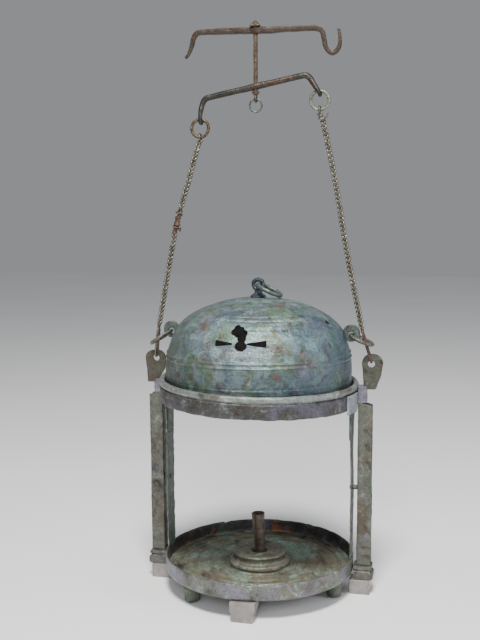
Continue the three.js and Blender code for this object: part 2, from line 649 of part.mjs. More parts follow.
/** Rivet with a spacer that holds a strip off its upright and leaves the slot for a window sheet. */
function stripRivet(side) {
  const face = STRIP_X - STRIP_T / 2;
  const back = STRIP_X + STRIP_T / 2;
  const shank = rodX(RIVET_R, face - GAP - 0.5, back + 1);
  const spacer = rodX(RIVET_SPACER_R, back + GAP, POST_INNER_X - GAP);
  const head = rodX(RIVET_HEAD_R, face - GAP - RIVET_HEAD_T, face - GAP);
  const g = join(shank, spacer, head).translate(0, 0, RIVET_Z);
  return side > 0 ? g : g.rotateZ(Math.PI);
}

// ---------------------------------------------------------------- pan
function pan() {
  const floor = PAN_BASE_Z + PAN_FLOOR;
  const wall = PAN_R - PAN_WALL;
  const rim = PAN_RIM_Z;
  return turned([
    [0, PAN_BASE_Z], [PAN_R - 2.4, PAN_BASE_Z], [PAN_R - 0.5, PAN_BASE_Z + 1.4], [PAN_R, PAN_BASE_Z + 4],
    [PAN_R, rim - 0.8], [PAN_R - 0.8, rim], [wall + 0.5, rim], [wall, rim - 0.8], [wall, floor + 1.6],
    [wall - 1.6, floor], [PAN_RIDGE_R + 2.4, floor], [PAN_RIDGE_R, floor + PAN_RIDGE_H],
    [PAN_RIDGE_R - 2.4, floor], [0, floor],
  ], 56);
}

function boss() {
  const z = PAN_BASE_Z + PAN_FLOOR + GAP;
  const top = z + BOSS_H;
  return turned([
    [0, z], [BOSS_BASE_R, z], [BOSS_BASE_R, z + BOSS_STEP_H - 1.4], [BOSS_BASE_R - 1.4, z + BOSS_STEP_H],
    [BOSS_TOP_R + 0.8, z + BOSS_STEP_H], [BOSS_TOP_R, z + BOSS_STEP_H + 1], [BOSS_TOP_R, top - 1.6],
    [BOSS_TOP_R - 1.6, top], [BOSS_SOCKET_R, top], [BOSS_SOCKET_R, top - BOSS_SOCKET_DEPTH],
    [0, top - BOSS_SOCKET_DEPTH],
  ], 36);
}

function wickTube() {
  const z0 = PAN_BASE_Z + PAN_FLOOR + GAP + BOSS_H - BOSS_SOCKET_DEPTH + GAP;
  const z1 = z0 + TUBE_H;
  const loop = [[TUBE_BASE_R, z0], [TUBE_BASE_R + 0.3, z0 + TUBE_H * 0.4], [TUBE_MOUTH_R, z1],
    [TUBE_MOUTH_R - TUBE_WALL, z1], [TUBE_BASE_R - TUBE_WALL + 0.3, z0 + TUBE_H * 0.4],
    [TUBE_BASE_R - TUBE_WALL, z0]];
  return turned([...loop, loop[0]], 18);
}

function panFoot(angle) {
  const top = PAN_BASE_Z - GAP;
  const out = PAN_R - PAN_FOOT_IN;
  return turned([
    [0, PAN_FOOT_LIFT], [PAN_FOOT_BASE_R - 1.4, PAN_FOOT_LIFT], [PAN_FOOT_BASE_R, 2],
    [PAN_FOOT_BASE_R + 0.6, top * 0.38], [PAN_FOOT_TOP_R - 0.6, top * 0.7], [PAN_FOOT_TOP_R, top - 2.2],
    [PAN_FOOT_TOP_R - 0.8, top], [0, top],
  ], 18).translate(Math.cos(rad(angle)) * out, Math.sin(rad(angle)) * out, 0);
}

function supportPad(side) {
  const from = FOOT_BLOCK_IN_X - PAD_INSET;
  const body = block(from, from + PAD_LENGTH, -PAD_W / 2, PAD_W / 2, 0, PAD_H);
  return side > 0 ? body : body.rotateZ(Math.PI);
}

function frontPad() {
  const { x0, x1, flange, depth, step } = FRONT_PAD;
  const front = -PAN_R - FRONT_PAD.proud;
  return join(block(x0, x1, front, front + depth, 0, step),
    block(x0 - flange, x1 + flange, front, front + depth, step - 1, PAN_BASE_Z - GAP));
}

// ---------------------------------------------------------------- assembly
add('handle_bar', hookedHandle(), bronze('#3d3c37', 0.55));
add('lift_rod', liftRod(), bronze('#4a463c', 0.55));
add('rod_ring', ringXZ(ROD_RING_R, ROD_RING_WIRE_R, 24)
  .translate(ROD_X, 0, ROD_EYE_Z - 0.5 - ROD_RING_R), bronze('#3f4a44'));
add('carrying_bar', carryingBar(), bronze('#4c524c', 0.55));
add('top_ring_left', ringXZ(TOP_RING_LEFT.r, TOP_RING_WIRE_R)
  .translate(TOP_RING_LEFT.x, 0, TOP_RING_LEFT.z), bronze('#8a6a4c'));
add('top_ring_right', ringXZ(TOP_RING_RIGHT.r, TOP_RING_WIRE_R)
  .translate(TOP_RING_RIGHT.x, 0, TOP_RING_RIGHT.z), bronze('#7b8577'));
add('right_chain', rightChain(), bronze('#6b6450'));
add('right_chain_hook', hookLink(hookTop(RIGHT_CHAIN_END), hookEnd(TONGUE_RIGHT)), bronze('#7c4f42'));
add('left_chain_upper', leftChainUpper(), bronze('#655f4e'));
add('left_chain_repair_link', leftRepairLink(), bronze('#6e3f37'));
add('left_chain_lower', leftChainLower(), bronze('#655f4e'));
add('left_chain_hook', hookLink(hookTop(LEFT_CHAIN_END), hookEnd(TONGUE_LEFT)), bronze('#9a8f82'));

add('frame_ring', frameRing(), bronze('#6c7069', 0.6));
add('ring_sleeve', ringSleeve(), bronze('#8b8a8d', 0.6));
add('pan', pan(), bronze('#4f5a55', 0.68));
add('boss', boss(), bronze('#4d5851', 0.66));
add('wick_tube', wickTube(), bronze('#433f36', 0.6));
add('pan_foot_front', panFoot(PAN_FOOT_ANGLES[0]), bronze('#37493f', 0.7));
add('pan_foot_right', panFoot(PAN_FOOT_ANGLES[1]), bronze('#3f4b42', 0.7));
add('pan_foot_back', panFoot(PAN_FOOT_ANGLES[2]), bronze('#37493f', 0.7));
add('support_pad_front', frontPad(), clear());

for (const [name, side, t] of [['left', -1, TONGUE_LEFT], ['right', 1, TONGUE_RIGHT]]) {
  add(`post_${name}`, post(side), bronze('#47514a', 0.64));
  add(`post_tongue_${name}`, tongue(t, side), bronze(side > 0 ? '#7c8573' : '#6a5f45', 0.6));
  add(`ring_lug_${name}`, ringLug(side), bronze('#9b93a0', 0.6));
  add(`inner_strip_${name}`, innerStrip(side), bronze('#33433b', 0.7));
  add(`strip_rivet_${name}`, stripRivet(side), bronze('#4b554e', 0.6));
  add(`post_foot_${name}`, postFoot(side), bronze('#5f625d', 0.62));
  add(`support_pad_${name}`, supportPad(side), clear());
}

const lid = new THREE.Group();
lid.name = 'lid';
censer.add(lid);
add('lid_dome', lidDome(), bronze('#5f7370', 0.55), lid);
add('lid_eye', lidEye(), bronze('#2c3a44', 0.55), lid);
add('lid_ring', lidRing(), bronze('#59605c', 0.55), lid);
add('lid_ear_left', lidEar(-1), bronze('#3b4a41', 0.62), lid);
add('lid_ear_right', lidEar(1), bronze('#5b6b66', 0.58), lid);
add('guide_ring_left', guideRing(-1, GUIDE_LEFT), bronze('#9a7a5e', 0.5), lid);
add('guide_ring_right', guideRing(1, GUIDE_RIGHT), bronze('#a7ab9d', 0.5), lid);

export default censer;
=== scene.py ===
import math

import bpy
from bpy.props import FloatProperty, FloatVectorProperty, IntProperty, PointerProperty
from bpy.types import Operator, Panel, PropertyGroup
from mathutils import Matrix, Vector, noise


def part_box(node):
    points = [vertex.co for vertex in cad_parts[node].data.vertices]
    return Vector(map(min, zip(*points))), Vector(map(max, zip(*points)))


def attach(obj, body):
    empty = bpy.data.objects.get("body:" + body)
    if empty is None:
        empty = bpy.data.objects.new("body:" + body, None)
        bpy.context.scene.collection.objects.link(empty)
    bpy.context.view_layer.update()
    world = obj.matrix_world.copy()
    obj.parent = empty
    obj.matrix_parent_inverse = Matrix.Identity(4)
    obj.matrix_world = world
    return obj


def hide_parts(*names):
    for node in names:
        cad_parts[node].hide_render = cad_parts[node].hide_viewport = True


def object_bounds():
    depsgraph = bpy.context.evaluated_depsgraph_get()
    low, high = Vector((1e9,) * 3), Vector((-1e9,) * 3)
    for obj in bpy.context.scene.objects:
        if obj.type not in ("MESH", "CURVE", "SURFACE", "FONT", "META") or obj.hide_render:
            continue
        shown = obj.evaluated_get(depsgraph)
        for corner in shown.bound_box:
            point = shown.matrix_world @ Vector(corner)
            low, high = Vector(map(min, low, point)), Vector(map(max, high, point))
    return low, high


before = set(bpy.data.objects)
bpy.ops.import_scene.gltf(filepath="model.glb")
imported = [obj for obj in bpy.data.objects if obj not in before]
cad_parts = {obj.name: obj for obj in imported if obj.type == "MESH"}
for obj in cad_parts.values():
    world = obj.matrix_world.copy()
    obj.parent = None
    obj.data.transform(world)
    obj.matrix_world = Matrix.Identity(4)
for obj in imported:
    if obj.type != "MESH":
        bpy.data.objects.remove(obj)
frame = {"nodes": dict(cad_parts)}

bl_info = {
    "name": "Hanging lantern censer",
    "version": (1, 0, 0),
    "blender": (4, 5, 0),
    "location": "3D View > Sidebar > Lantern",
    "description": "Builds a corroded bronze hanging lantern censer round its packed frame",
    "category": "Object",
}

CAD_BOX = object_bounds()
MM = 0.001
TURN = 2 * math.pi


# ---------------------------------------------------------------- places taken from the frame
def middle(node):
    low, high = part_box(node)
    return (low + high) / 2


def top_of(node):
    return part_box(node)[1].z


def bottom_of(node):
    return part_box(node)[0].z


LID_R = (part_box("lid_dome")[1].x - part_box("lid_dome")[0].x) / 2 / MM - 0.5
LID_BASE = bottom_of("lid_dome") / MM
LID_RISE = top_of("lid_dome") / MM - LID_BASE
RING_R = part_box("frame_ring")[1].x / MM - 0.4
RING_BASE = bottom_of("frame_ring") / MM
RING_LIP = top_of("frame_ring") / MM
PAN_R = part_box("pan")[1].x / MM
PAN_BASE = bottom_of("pan") / MM
PAN_RIM = top_of("pan") / MM
PAN_FLOOR = bottom_of("boss") / MM - 0.3
BOSS_TOP = top_of("boss") / MM
TUBE_BASE = bottom_of("wick_tube") / MM
TUBE_TOP = top_of("wick_tube") / MM
ROD_X = middle("lift_rod").x / MM
ROD_HEAD = top_of("lift_rod") / MM
HANDLE_Z = ROD_HEAD - 9.7
CARRY_Z = HANDLE_Z - 52.4
EAR = Vector((91.2, 4.7, 256.6))
EYE_Z = LID_BASE + LID_RISE + 12.5


class LanternSizes(PropertyGroup):
    """Sizes of the finished pieces."""

    handle_half: FloatProperty(
        name="Handle half thickness", description="Half the handle bar's thickness at its middle, in mm",
        default=3.2, min=1.5, max=5)
    carry_half: FloatProperty(
        name="Carrying bar half thickness", description="Half the carrying bar's thickness, in mm",
        default=3.0, min=1.5, max=5)
    chain_half: FloatProperty(
        name="Chain half width", description="Half the width of a plaited chain, in mm",
        default=3.1, min=1.5, max=4)
    link_pitch: FloatProperty(
        name="Link pitch", description="How far one link of a chain lies from the next in its row, in mm",
        default=4.4, min=1.5, max=6)
    link_wire: FloatProperty(
        name="Link wire", description="Half the thickness of a chain link's wire, in mm", default=0.92,
        min=0.2, max=1.2)
    ridge_height: FloatProperty(
        name="Ridge height", description="How far the lid's two raised lines stand out, in mm", default=1.0,
        min=0, max=2)
    line_depth: FloatProperty(
        name="Line depth", description="Depth of the lines cut round the lid's crown, in mm", default=0.75,
        min=0, max=1.5)
    lid_steps: IntProperty(
        name="Lid steps", description="How many steps the lid is turned in", default=144, min=32, max=256)
    wear: FloatProperty(
        name="Wear", description="How uneven the corroded surfaces are, in mm", default=0.5, min=0, max=2)
    chip: FloatProperty(
        name="Chipping", description="How deep the pan's rim and the thin strips are chipped, in mm",
        default=1.6, min=0, max=4)


def colour_setting(label, words, default):
    return FloatVectorProperty(
        name=label, description=words, subtype="COLOR", size=3, min=0, max=1, default=default)


def tint(code):
    """A linear colour from six hex digits."""
    parts = [int(code[i:i + 2], 16) / 255 for i in (0, 2, 4)]
    return tuple(c / 12.92 if c <= 0.04045 else ((c + 0.055) / 1.055) ** 2.4 for c in parts)


class LanternColours(PropertyGroup):
    """Main colours of the finishes."""

    lid: colour_setting("Lid", "Blue-grey patina of the lid", tint("6b7c83"))
    frame: colour_setting("Frame", "Grey patina of the ring and uprights", tint("595a57"))
    pan: colour_setting("Pan", "Grey-brown patina of the pan", tint("64655f"))
    handle: colour_setting("Handle", "Dark brown of the handle bar", tint("362b23"))
    chain: colour_setting("Chains", "Grey-brown of the chains", tint("5c584e"))
    copper: colour_setting("Repairs", "Reddish brown of the repairs", tint("4d3a30"))
    pads: colour_setting("Pads", "Pinkish grey of the clear pads", tint("b3aba6"))


class StudioSettings(PropertyGroup):
    """Camera and lights."""

    key_power: FloatProperty(
        name="Key light", description="Power of the main soft light", default=44, min=0, max=500, unit="POWER")
    fill_power: FloatProperty(
        name="Fill light", description="Power of the soft light from the right", default=7, min=0, max=500,
        unit="POWER")
    front_power: FloatProperty(
        name="Front light", description="Power of the soft light from in front", default=10, min=0, max=500,
        unit="POWER")
    camera_turn: FloatProperty(
        name="Camera turn", description="How far the camera is turned to its left", default=math.radians(13.37),
        subtype="ANGLE")
    camera_tip: FloatProperty(
        name="Camera tip", description="How far the camera looks down", default=math.radians(6.65),
        subtype="ANGLE")


# ---------------------------------------------------------------- working by hand
def deselect():
    active = bpy.context.view_layer.objects.active
    if active and active.mode != "OBJECT":
        bpy.ops.object.mode_set(mode="OBJECT")
    bpy.ops.object.select_all(action="DESELECT")


def only(obj):
    deselect()
    obj.select_set(True)
    bpy.context.view_layer.objects.active = obj


def modify(obj, kind, **settings):
    """Adds a modifier with these settings and applies it."""
    only(obj)
    modifier = obj.modifiers.new(kind.title(), kind)
    for key, value in settings.items():
        setattr(modifier, key, value)
    bpy.ops.object.modifier_apply(modifier=modifier.name)
    return obj


def tidy(obj, gap=1e-6):
    """Merges doubled vertices and turns every face outwards."""
    only(obj)
    bpy.ops.object.mode_set(mode="EDIT")
    bpy.ops.mesh.select_all(action="SELECT")
    bpy.ops.mesh.remove_doubles(threshold=gap)
    bpy.ops.mesh.normals_make_consistent(inside=False)
    bpy.ops.object.mode_set(mode="OBJECT")
    return obj


def smooth(obj, degrees=40):
    only(obj)
    bpy.ops.object.shade_smooth_by_angle(angle=math.radians(degrees))
    return obj


def joined(name, pieces):
    deselect()
    for piece in pieces:
        piece.select_set(True)
    bpy.context.view_layer.objects.active = pieces[0]
    if len(pieces) > 1:
        bpy.ops.object.join()
    pieces[0].name = name
    return pieces[0]


def nudge(obj, amount, size, seed, where=None, axes=(1, 1, 1)):
    """Moves vertices by smooth noise: amount and size in mm."""
    offset = Vector((seed * 3.7, seed * 1.9, seed * 5.3))
    weight = Vector(axes)
    for vertex in obj.data.vertices:
        if where is None or where(vertex.co / MM):
            move = noise.noise_vector(vertex.co / (size * MM) + offset)
            vertex.co += Vector(m * w for m, w in zip(move, weight)) * amount * MM
    return obj


def corner(profile, closed):
    """Starts a piece as one vertex and extrudes it along a profile of X, Y, Z points in mm."""
    deselect()
    bpy.ops.mesh.primitive_plane_add(size=MM)
    obj = bpy.context.active_object
    bpy.ops.object.mode_set(mode="EDIT")
    bpy.ops.mesh.select_all(action="SELECT")
    bpy.ops.mesh.merge(type="CENTER")
    points = [Vector(p) * MM for p in profile]
    bpy.ops.transform.translate(value=points[0])
    for before, after in zip(points, points[1:] + points[:1] * closed):
        bpy.ops.mesh.extrude_region_move(TRANSFORM_OT_translate={"value": after - before})
    bpy.ops.mesh.select_all(action="SELECT")
    bpy.ops.mesh.remove_doubles(threshold=1e-6)
    return obj


def turned(name, profile, steps=96, closed=True):
    """Turns a profile of radius and height pairs, in mm, about Z."""
    obj = corner([(r, 0, z) for r, z in profile], closed)
    bpy.ops.mesh.select_all(action="SELECT")
    bpy.ops.mesh.spin(steps=steps, angle=TURN, center=(0, 0, 0), axis=(0, 0, 1))
    bpy.ops.mesh.select_all(action="SELECT")
    bpy.ops.object.mode_set(mode="OBJECT")
    obj.name = name
    return tidy(obj, 2e-6)


def slab(name, outline, low, high, axis="Z", cuts=0):
    """Fills an outline, in mm, extrudes it along an axis and divides it along its length."""
    place = {
        "Z": lambda a, b, c: (a, b, c), "Y": lambda a, b, c: (a, c, b), "X": lambda a, b, c: (c, a, b),
    }[axis]
    obj = corner([place(a, b, low) for a, b in outline], True)
    bpy.ops.mesh.select_all(action="SELECT")
    bpy.ops.mesh.edge_face_add()
    direction = Vector(place(0, 0, high - low)) * MM
    bpy.ops.mesh.extrude_region_move(TRANSFORM_OT_translate={"value": direction})
    for i in range(cuts):
        bpy.ops.mesh.select_all(action="SELECT")
        spot = Vector(place(0, 0, low + (high - low) * (i + 1) / (cuts + 1))) * MM
        bpy.ops.mesh.bisect(plane_co=spot, plane_no=direction.normalized())
    bpy.ops.object.mode_set(mode="OBJECT")
    obj.name = name
    return tidy(obj)


def spline(points, cyclic=False, per=6):
    """Points on a smooth line through the given ones, with any number of values in each."""
    points = [Vector(p) for p in points]
    count = len(points)
    spans = count if cyclic else count - 1
    found = []
    for i in range(spans):
        if cyclic:
            a, b, c, d = (points[(i + k) % count] for k in (-1, 0, 1, 2))
        else:
            a, b, c, d = (points[min(max(i + k, 0), count - 1)] for k in (-1, 0, 1, 2))
        for s in range(per):
            t = s / per
            found.append(
                (b * 2 + (c - a) * t + (a * 2 - b * 5 + c * 4 - d) * t * t
                 + (b * 3 - a - c * 3 + d) * t ** 3) / 2)
    return found if cyclic else found + [points[-1]]


def bar(name, points, half, cyclic=False, per=6, square=False, round_steps=3, tilt=0.0):
    """A bar along a line of points in mm; a fourth value is its share of the full thickness."""
    points = [tuple(p) if len(p) == 4 else (*p, 1.0) for p in points]
    line = spline(points, cyclic, per)
    deselect()
    bpy.ops.curve.primitive_nurbs_path_add()
    obj = bpy.context.active_object
    curve = obj.data
    curve.splines.clear()
    curve.dimensions = "3D"
    curve.twist_mode = "MINIMUM"
    run = curve.splines.new("POLY")
    run.points.add(len(line) - 1)
    for spot, value in zip(run.points, line):
        spot.co = (value[0] * MM, value[1] * MM, value[2] * MM, 1)
        spot.radius = value[3]
        spot.tilt = tilt
    run.use_cyclic_u = cyclic
    curve.bevel_depth = half * MM * (1.22 if square else 1)
    curve.bevel_resolution = 0 if square else round_steps
    curve.use_fill_caps = not cyclic
    bpy.ops.object.convert(target="MESH")
    obj = bpy.context.active_object
    obj.name = name
    tidy(obj)
    if square:
        modify(obj, "BEVEL", width=half * 0.42 * MM, segments=3, limit_method="ANGLE",
               angle_limit=math.radians(40))
    return obj


def reworked(node, name, voxel=0.8, wear=0.3, size=9, seed=1, rounds=3):
    """A finer copy of a frame node with its edges softened and its faces made uneven."""
    source = frame["nodes"][node]
    obj = source.copy()
    obj.data = source.data.copy()
    bpy.context.scene.collection.objects.link(obj)
    obj.parent = None
    obj.matrix_world = Matrix.Identity(4)
    for key in list(obj.keys()):
        del obj[key]
    obj.name = name
    obj.data.materials.clear()
    tidy(obj, 1e-5)
    modify(obj, "REMESH", mode="VOXEL", voxel_size=voxel * MM)
    modify(obj, "SMOOTH", factor=0.5, iterations=rounds)
    return nudge(obj, wear, size, seed)


def cut(obj, tools, name="cutter"):
    """Cuts the tools out of a piece, after joining them into one body."""
    tool = tools[0]
    for other in tools[1:]:
        modify(tool, "BOOLEAN", operation="UNION", object=other, solver="EXACT")
        bpy.data.objects.remove(other)
    tool.name = name
    modify(obj, "BOOLEAN", operation="DIFFERENCE", object=tool, solver="EXACT")
    bpy.data.objects.remove(tool)
    return obj


def drill(radius, start, end, sides=20):
    """A round cutter from one point to another, in mm."""
    start, end = Vector(start), Vector(end)
    deselect()
    bpy.ops.mesh.primitive_cylinder_add(
        vertices=sides, radius=radius * MM, depth=(end - start).length * MM,
        location=(start + end) / 2 * MM, rotation=(end - start).to_track_quat("Z", "Y").to_euler())
    bpy.ops.object.transform_apply(location=True, rotation=True, scale=True)
    return bpy.context.active_object


def finish_piece(obj, body, nodes, finish, slot, *others):
    """Gives a piece its finishes and its body and hides the frame nodes it stands for; its slot is not used."""
    shares = [polygon.material_index for polygon in obj.data.polygons] if others else []
    obj.data.materials.clear()
    for paint in (finish, *others):
        obj.data.materials.append(paint)
    for polygon, share in zip(obj.data.polygons, shares):
        polygon.material_index = share
    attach(obj, body)
    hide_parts(*([nodes] if isinstance(nodes, str) else nodes))
    return obj


def paint_faces(obj, index, where):
    """Gives the faces where a test of centre, in mm, and normal holds a finish by its number."""
    for polygon in obj.data.polygons:
        if where(polygon.center / MM, polygon.normal):
            polygon.material_index = index
    return obj


# ---------------------------------------------------------------- finishes
def node(tree, kind, values=(), **settings):
    made = tree.nodes.new(kind)
    for key, value in settings.items():
        setattr(made, key, value)
    for key, value in dict(values).items():
        made.inputs[key].default_value = value
    return made


def noise_node(tree, coord, scale, detail=5.0, rough=0.6, twist=0.0):
    made = node(tree, "ShaderNodeTexNoise",
                {"Scale": scale, "Detail": detail, "Roughness": rough, "Distortion": twist})
    tree.links.new(coord, made.inputs["Vector"])
    return made


def level(tree, value, low, high, least=0.0, most=1.0):
    made = node(tree, "ShaderNodeMapRange",
                {"From Min": low, "From Max": high, "To Min": least, "To Max": most})
    made.interpolation_type = "SMOOTHSTEP"
    tree.links.new(value, made.inputs["Value"])
    return made.outputs["Result"]


def mixed(tree, share, under, over, blend="MIX"):
    """Mixes a colour over another by a share; either may be a plain colour."""
    made = node(tree, "ShaderNodeMix", data_type="RGBA", blend_type=blend)
    for value, socket in ((share, 0), (under, 6), (over, 7)):
        if isinstance(value, bpy.types.NodeSocket):
            tree.links.new(value, made.inputs[socket])
        elif socket == 0:
            made.inputs[socket].default_value = value
        else:
            made.inputs[socket].default_value = (*value, 1)
    return made.outputs[2]


def shade(colour, share):
    return tuple(min(1, c * share) for c in colour)


def patina(name, main, dark=None, light=None, spots=(), grain=70, gloss=(0.42, 0.68), metal=0.45,
           relief=0.4, pits=True, shift=0.0, darker_below=None, lines=0.0, sides=()):
    """Corroded bronze: clouds of dark, main and light colour, then spots of (colour, scale, from, share).

    darker_below is (low, high, share): heights in mm between which the colour passes from its share to full.
    lines is the strength of fine turned lines that lie level round a piece.
    sides holds (colour, x from, x to, share): stains that grow from one X to another, in mm."""
    dark = dark or shade(main, 0.34)
    light = light or shade(main, 1.8)
    finish = bpy.data.materials.new(name)
    finish.use_nodes = True
    tree = finish.node_tree
    shader = tree.nodes["Principled BSDF"]
    shader.inputs["Metallic"].default_value = metal
    shader.inputs["Specular IOR Level"].default_value = 0.5
    where = node(tree, "ShaderNodeTexCoord").outputs["Object"]
    place = node(tree, "ShaderNodeMapping", {"Location": (shift, shift * 0.7, shift * 1.3)})
    tree.links.new(where, place.inputs["Vector"])
    coord = place.outputs["Vector"]
    speck = noise_node(tree, coord, 520, 4, 0.75).outputs["Fac"]
    clouds = noise_node(tree, coord, grain, 9, 0.72, 0.6).outputs["Fac"]
    ramp = node(tree, "ShaderNodeValToRGB")
    stops = ramp.color_ramp
    stops.elements[0].position, stops.elements[0].color = 0.34, (*dark, 1)
    stops.elements[1].position, stops.elements[1].color = 0.68, (*light, 1)
    for position, colour in ((0.45, main), (0.57, shade(main, 1.2))):
        stops.elements.new(position).color = (*colour, 1)
    tree.links.new(clouds, ramp.inputs["Fac"])
    colour = ramp.outputs["Color"]
    for i, (spot, scale, start, share) in enumerate(spots):
        moved = node(tree, "ShaderNodeMapping", {"Location": (0.13 * (i + 1), 0.31 * i, 0.07 * (i + 2))})
        tree.links.new(coord, moved.inputs["Vector"])
        patch = noise_node(tree, moved.outputs["Vector"], scale, 9, 0.7, 0.4).outputs["Fac"]
        soft = node(tree, "ShaderNodeMath", operation="MULTIPLY")
        tree.links.new(level(tree, patch, start - 0.05, start + 0.08, 0, share), soft.inputs[0])
        tree.links.new(level(tree, speck, 0.36, 0.6, 0.45, 1.0), soft.inputs[1])
        colour = mixed(tree, soft.outputs["Value"], colour, spot)
    colour = mixed(tree, level(tree, speck, 0.34, 0.48, 0.6, 0), colour, shade(main, 0.26))
    colour = mixed(tree, level(tree, speck, 0.58, 0.74, 0, 0.45), colour, shade(light, 1.25))
    spread = node(tree, "ShaderNodeSeparateXYZ")
    tree.links.new(where, spread.inputs["Vector"])
    for stain, start, end, share in sides:
        reach = node(tree, "ShaderNodeMapRange", {
            "From Min": start * MM, "From Max": end * MM, "To Min": 0.0, "To Max": share})
        tree.links.new(spread.outputs["X"], reach.inputs["Value"])
        soft = node(tree, "ShaderNodeMath", operation="MULTIPLY")
        tree.links.new(reach.outputs["Result"], soft.inputs[0])
        tree.links.new(level(tree, clouds, 0.36, 0.56, 0.25, 1.0), soft.inputs[1])
        colour = mixed(tree, soft.outputs["Value"], colour, stain)
    # multiplies the colour darker below a height; on the lid this is painted shade on its lower wall
    if darker_below:
        share = level(tree, spread.outputs["Z"], darker_below[0] * MM, darker_below[1] * MM, 1, 0)
        colour = mixed(tree, share, colour, shade((1, 1, 1), darker_below[2]), "MULTIPLY")
    tree.links.new(colour, shader.inputs["Base Color"])
    sheen = noise_node(tree, coord, grain * 2.2, 4, 0.6).outputs["Fac"]
    tree.links.new(level(tree, sheen, 0.3, 0.7, *gloss), shader.inputs["Roughness"])
    rise = noise_node(tree, coord, 330, 6, 0.68).outputs["Fac"]
    bump = node(tree, "ShaderNodeBump", {"Strength": relief, "Distance": 0.0014})
    tree.links.new(rise, bump.inputs["Height"])
    if pits:
        cells = node(tree, "ShaderNodeTexVoronoi", {"Scale": 420.0, "Randomness": 1.0})
        tree.links.new(coord, cells.inputs["Vector"])
        pit = node(tree, "ShaderNodeBump", {"Strength": relief * 0.8, "Distance": 0.0006})
        tree.links.new(level(tree, cells.outputs["Distance"], 0.05, 0.35), pit.inputs["Height"])
        tree.links.new(bump.outputs["Normal"], pit.inputs["Normal"])
        bump = pit
    if lines:
        flat = node(tree, "ShaderNodeMapping", {"Scale": (0.04, 0.04, 1.0)})
        tree.links.new(where, flat.inputs["Vector"])
        turned_lines = noise_node(tree, flat.outputs["Vector"], 420, 2, 0.5).outputs["Fac"]
        score = node(tree, "ShaderNodeBump", {"Strength": lines, "Distance": 0.0012})
        tree.links.new(turned_lines, score.inputs["Height"])
        tree.links.new(bump.outputs["Normal"], score.inputs["Normal"])
        bump = score
    tree.links.new(bump.outputs["Normal"], shader.inputs["Normal"])
    return finish


def frosted(name, main):
    """Frosted clear plastic, a little cloudy inside."""
    finish = bpy.data.materials.new(name)
    finish.use_nodes = True
    tree = finish.node_tree
    shader = tree.nodes["Principled BSDF"]
    shader.inputs["Roughness"].default_value = 0.38
    shader.inputs["IOR"].default_value = 1.45
    shader.inputs["Transmission Weight"].default_value = 0.45
    coord = node(tree, "ShaderNodeTexCoord").outputs["Object"]
    clouds = noise_node(tree, coord, 130, 4, 0.6).outputs["Fac"]
    tree.links.new(
        mixed(tree, level(tree, clouds, 0.3, 0.7), shade(main, 0.72), shade(main, 1.1)),
        shader.inputs["Base Color"])
    bump = node(tree, "ShaderNodeBump", {"Strength": 0.15, "Distance": 0.0005})
    tree.links.new(noise_node(tree, coord, 700, 3, 0.6).outputs["Fac"], bump.inputs["Height"])
    tree.links.new(bump.outputs["Normal"], shader.inputs["Normal"])
    return finish


GREEN = tint("4c6b52")
PALE_GREEN = tint("8ba698")
SKY = tint("7fa9ad")
MOSS = tint("587350")
LILAC = tint("7b7590")
ORANGE = tint("9a5a34")
PINK = tint("b39c95")
TEAL = tint("2f5254")
OLIVE = tint("474632")
BROWN = tint("4a3626")
NAVY = tint("242f42")
PALE = tint("b8babb")


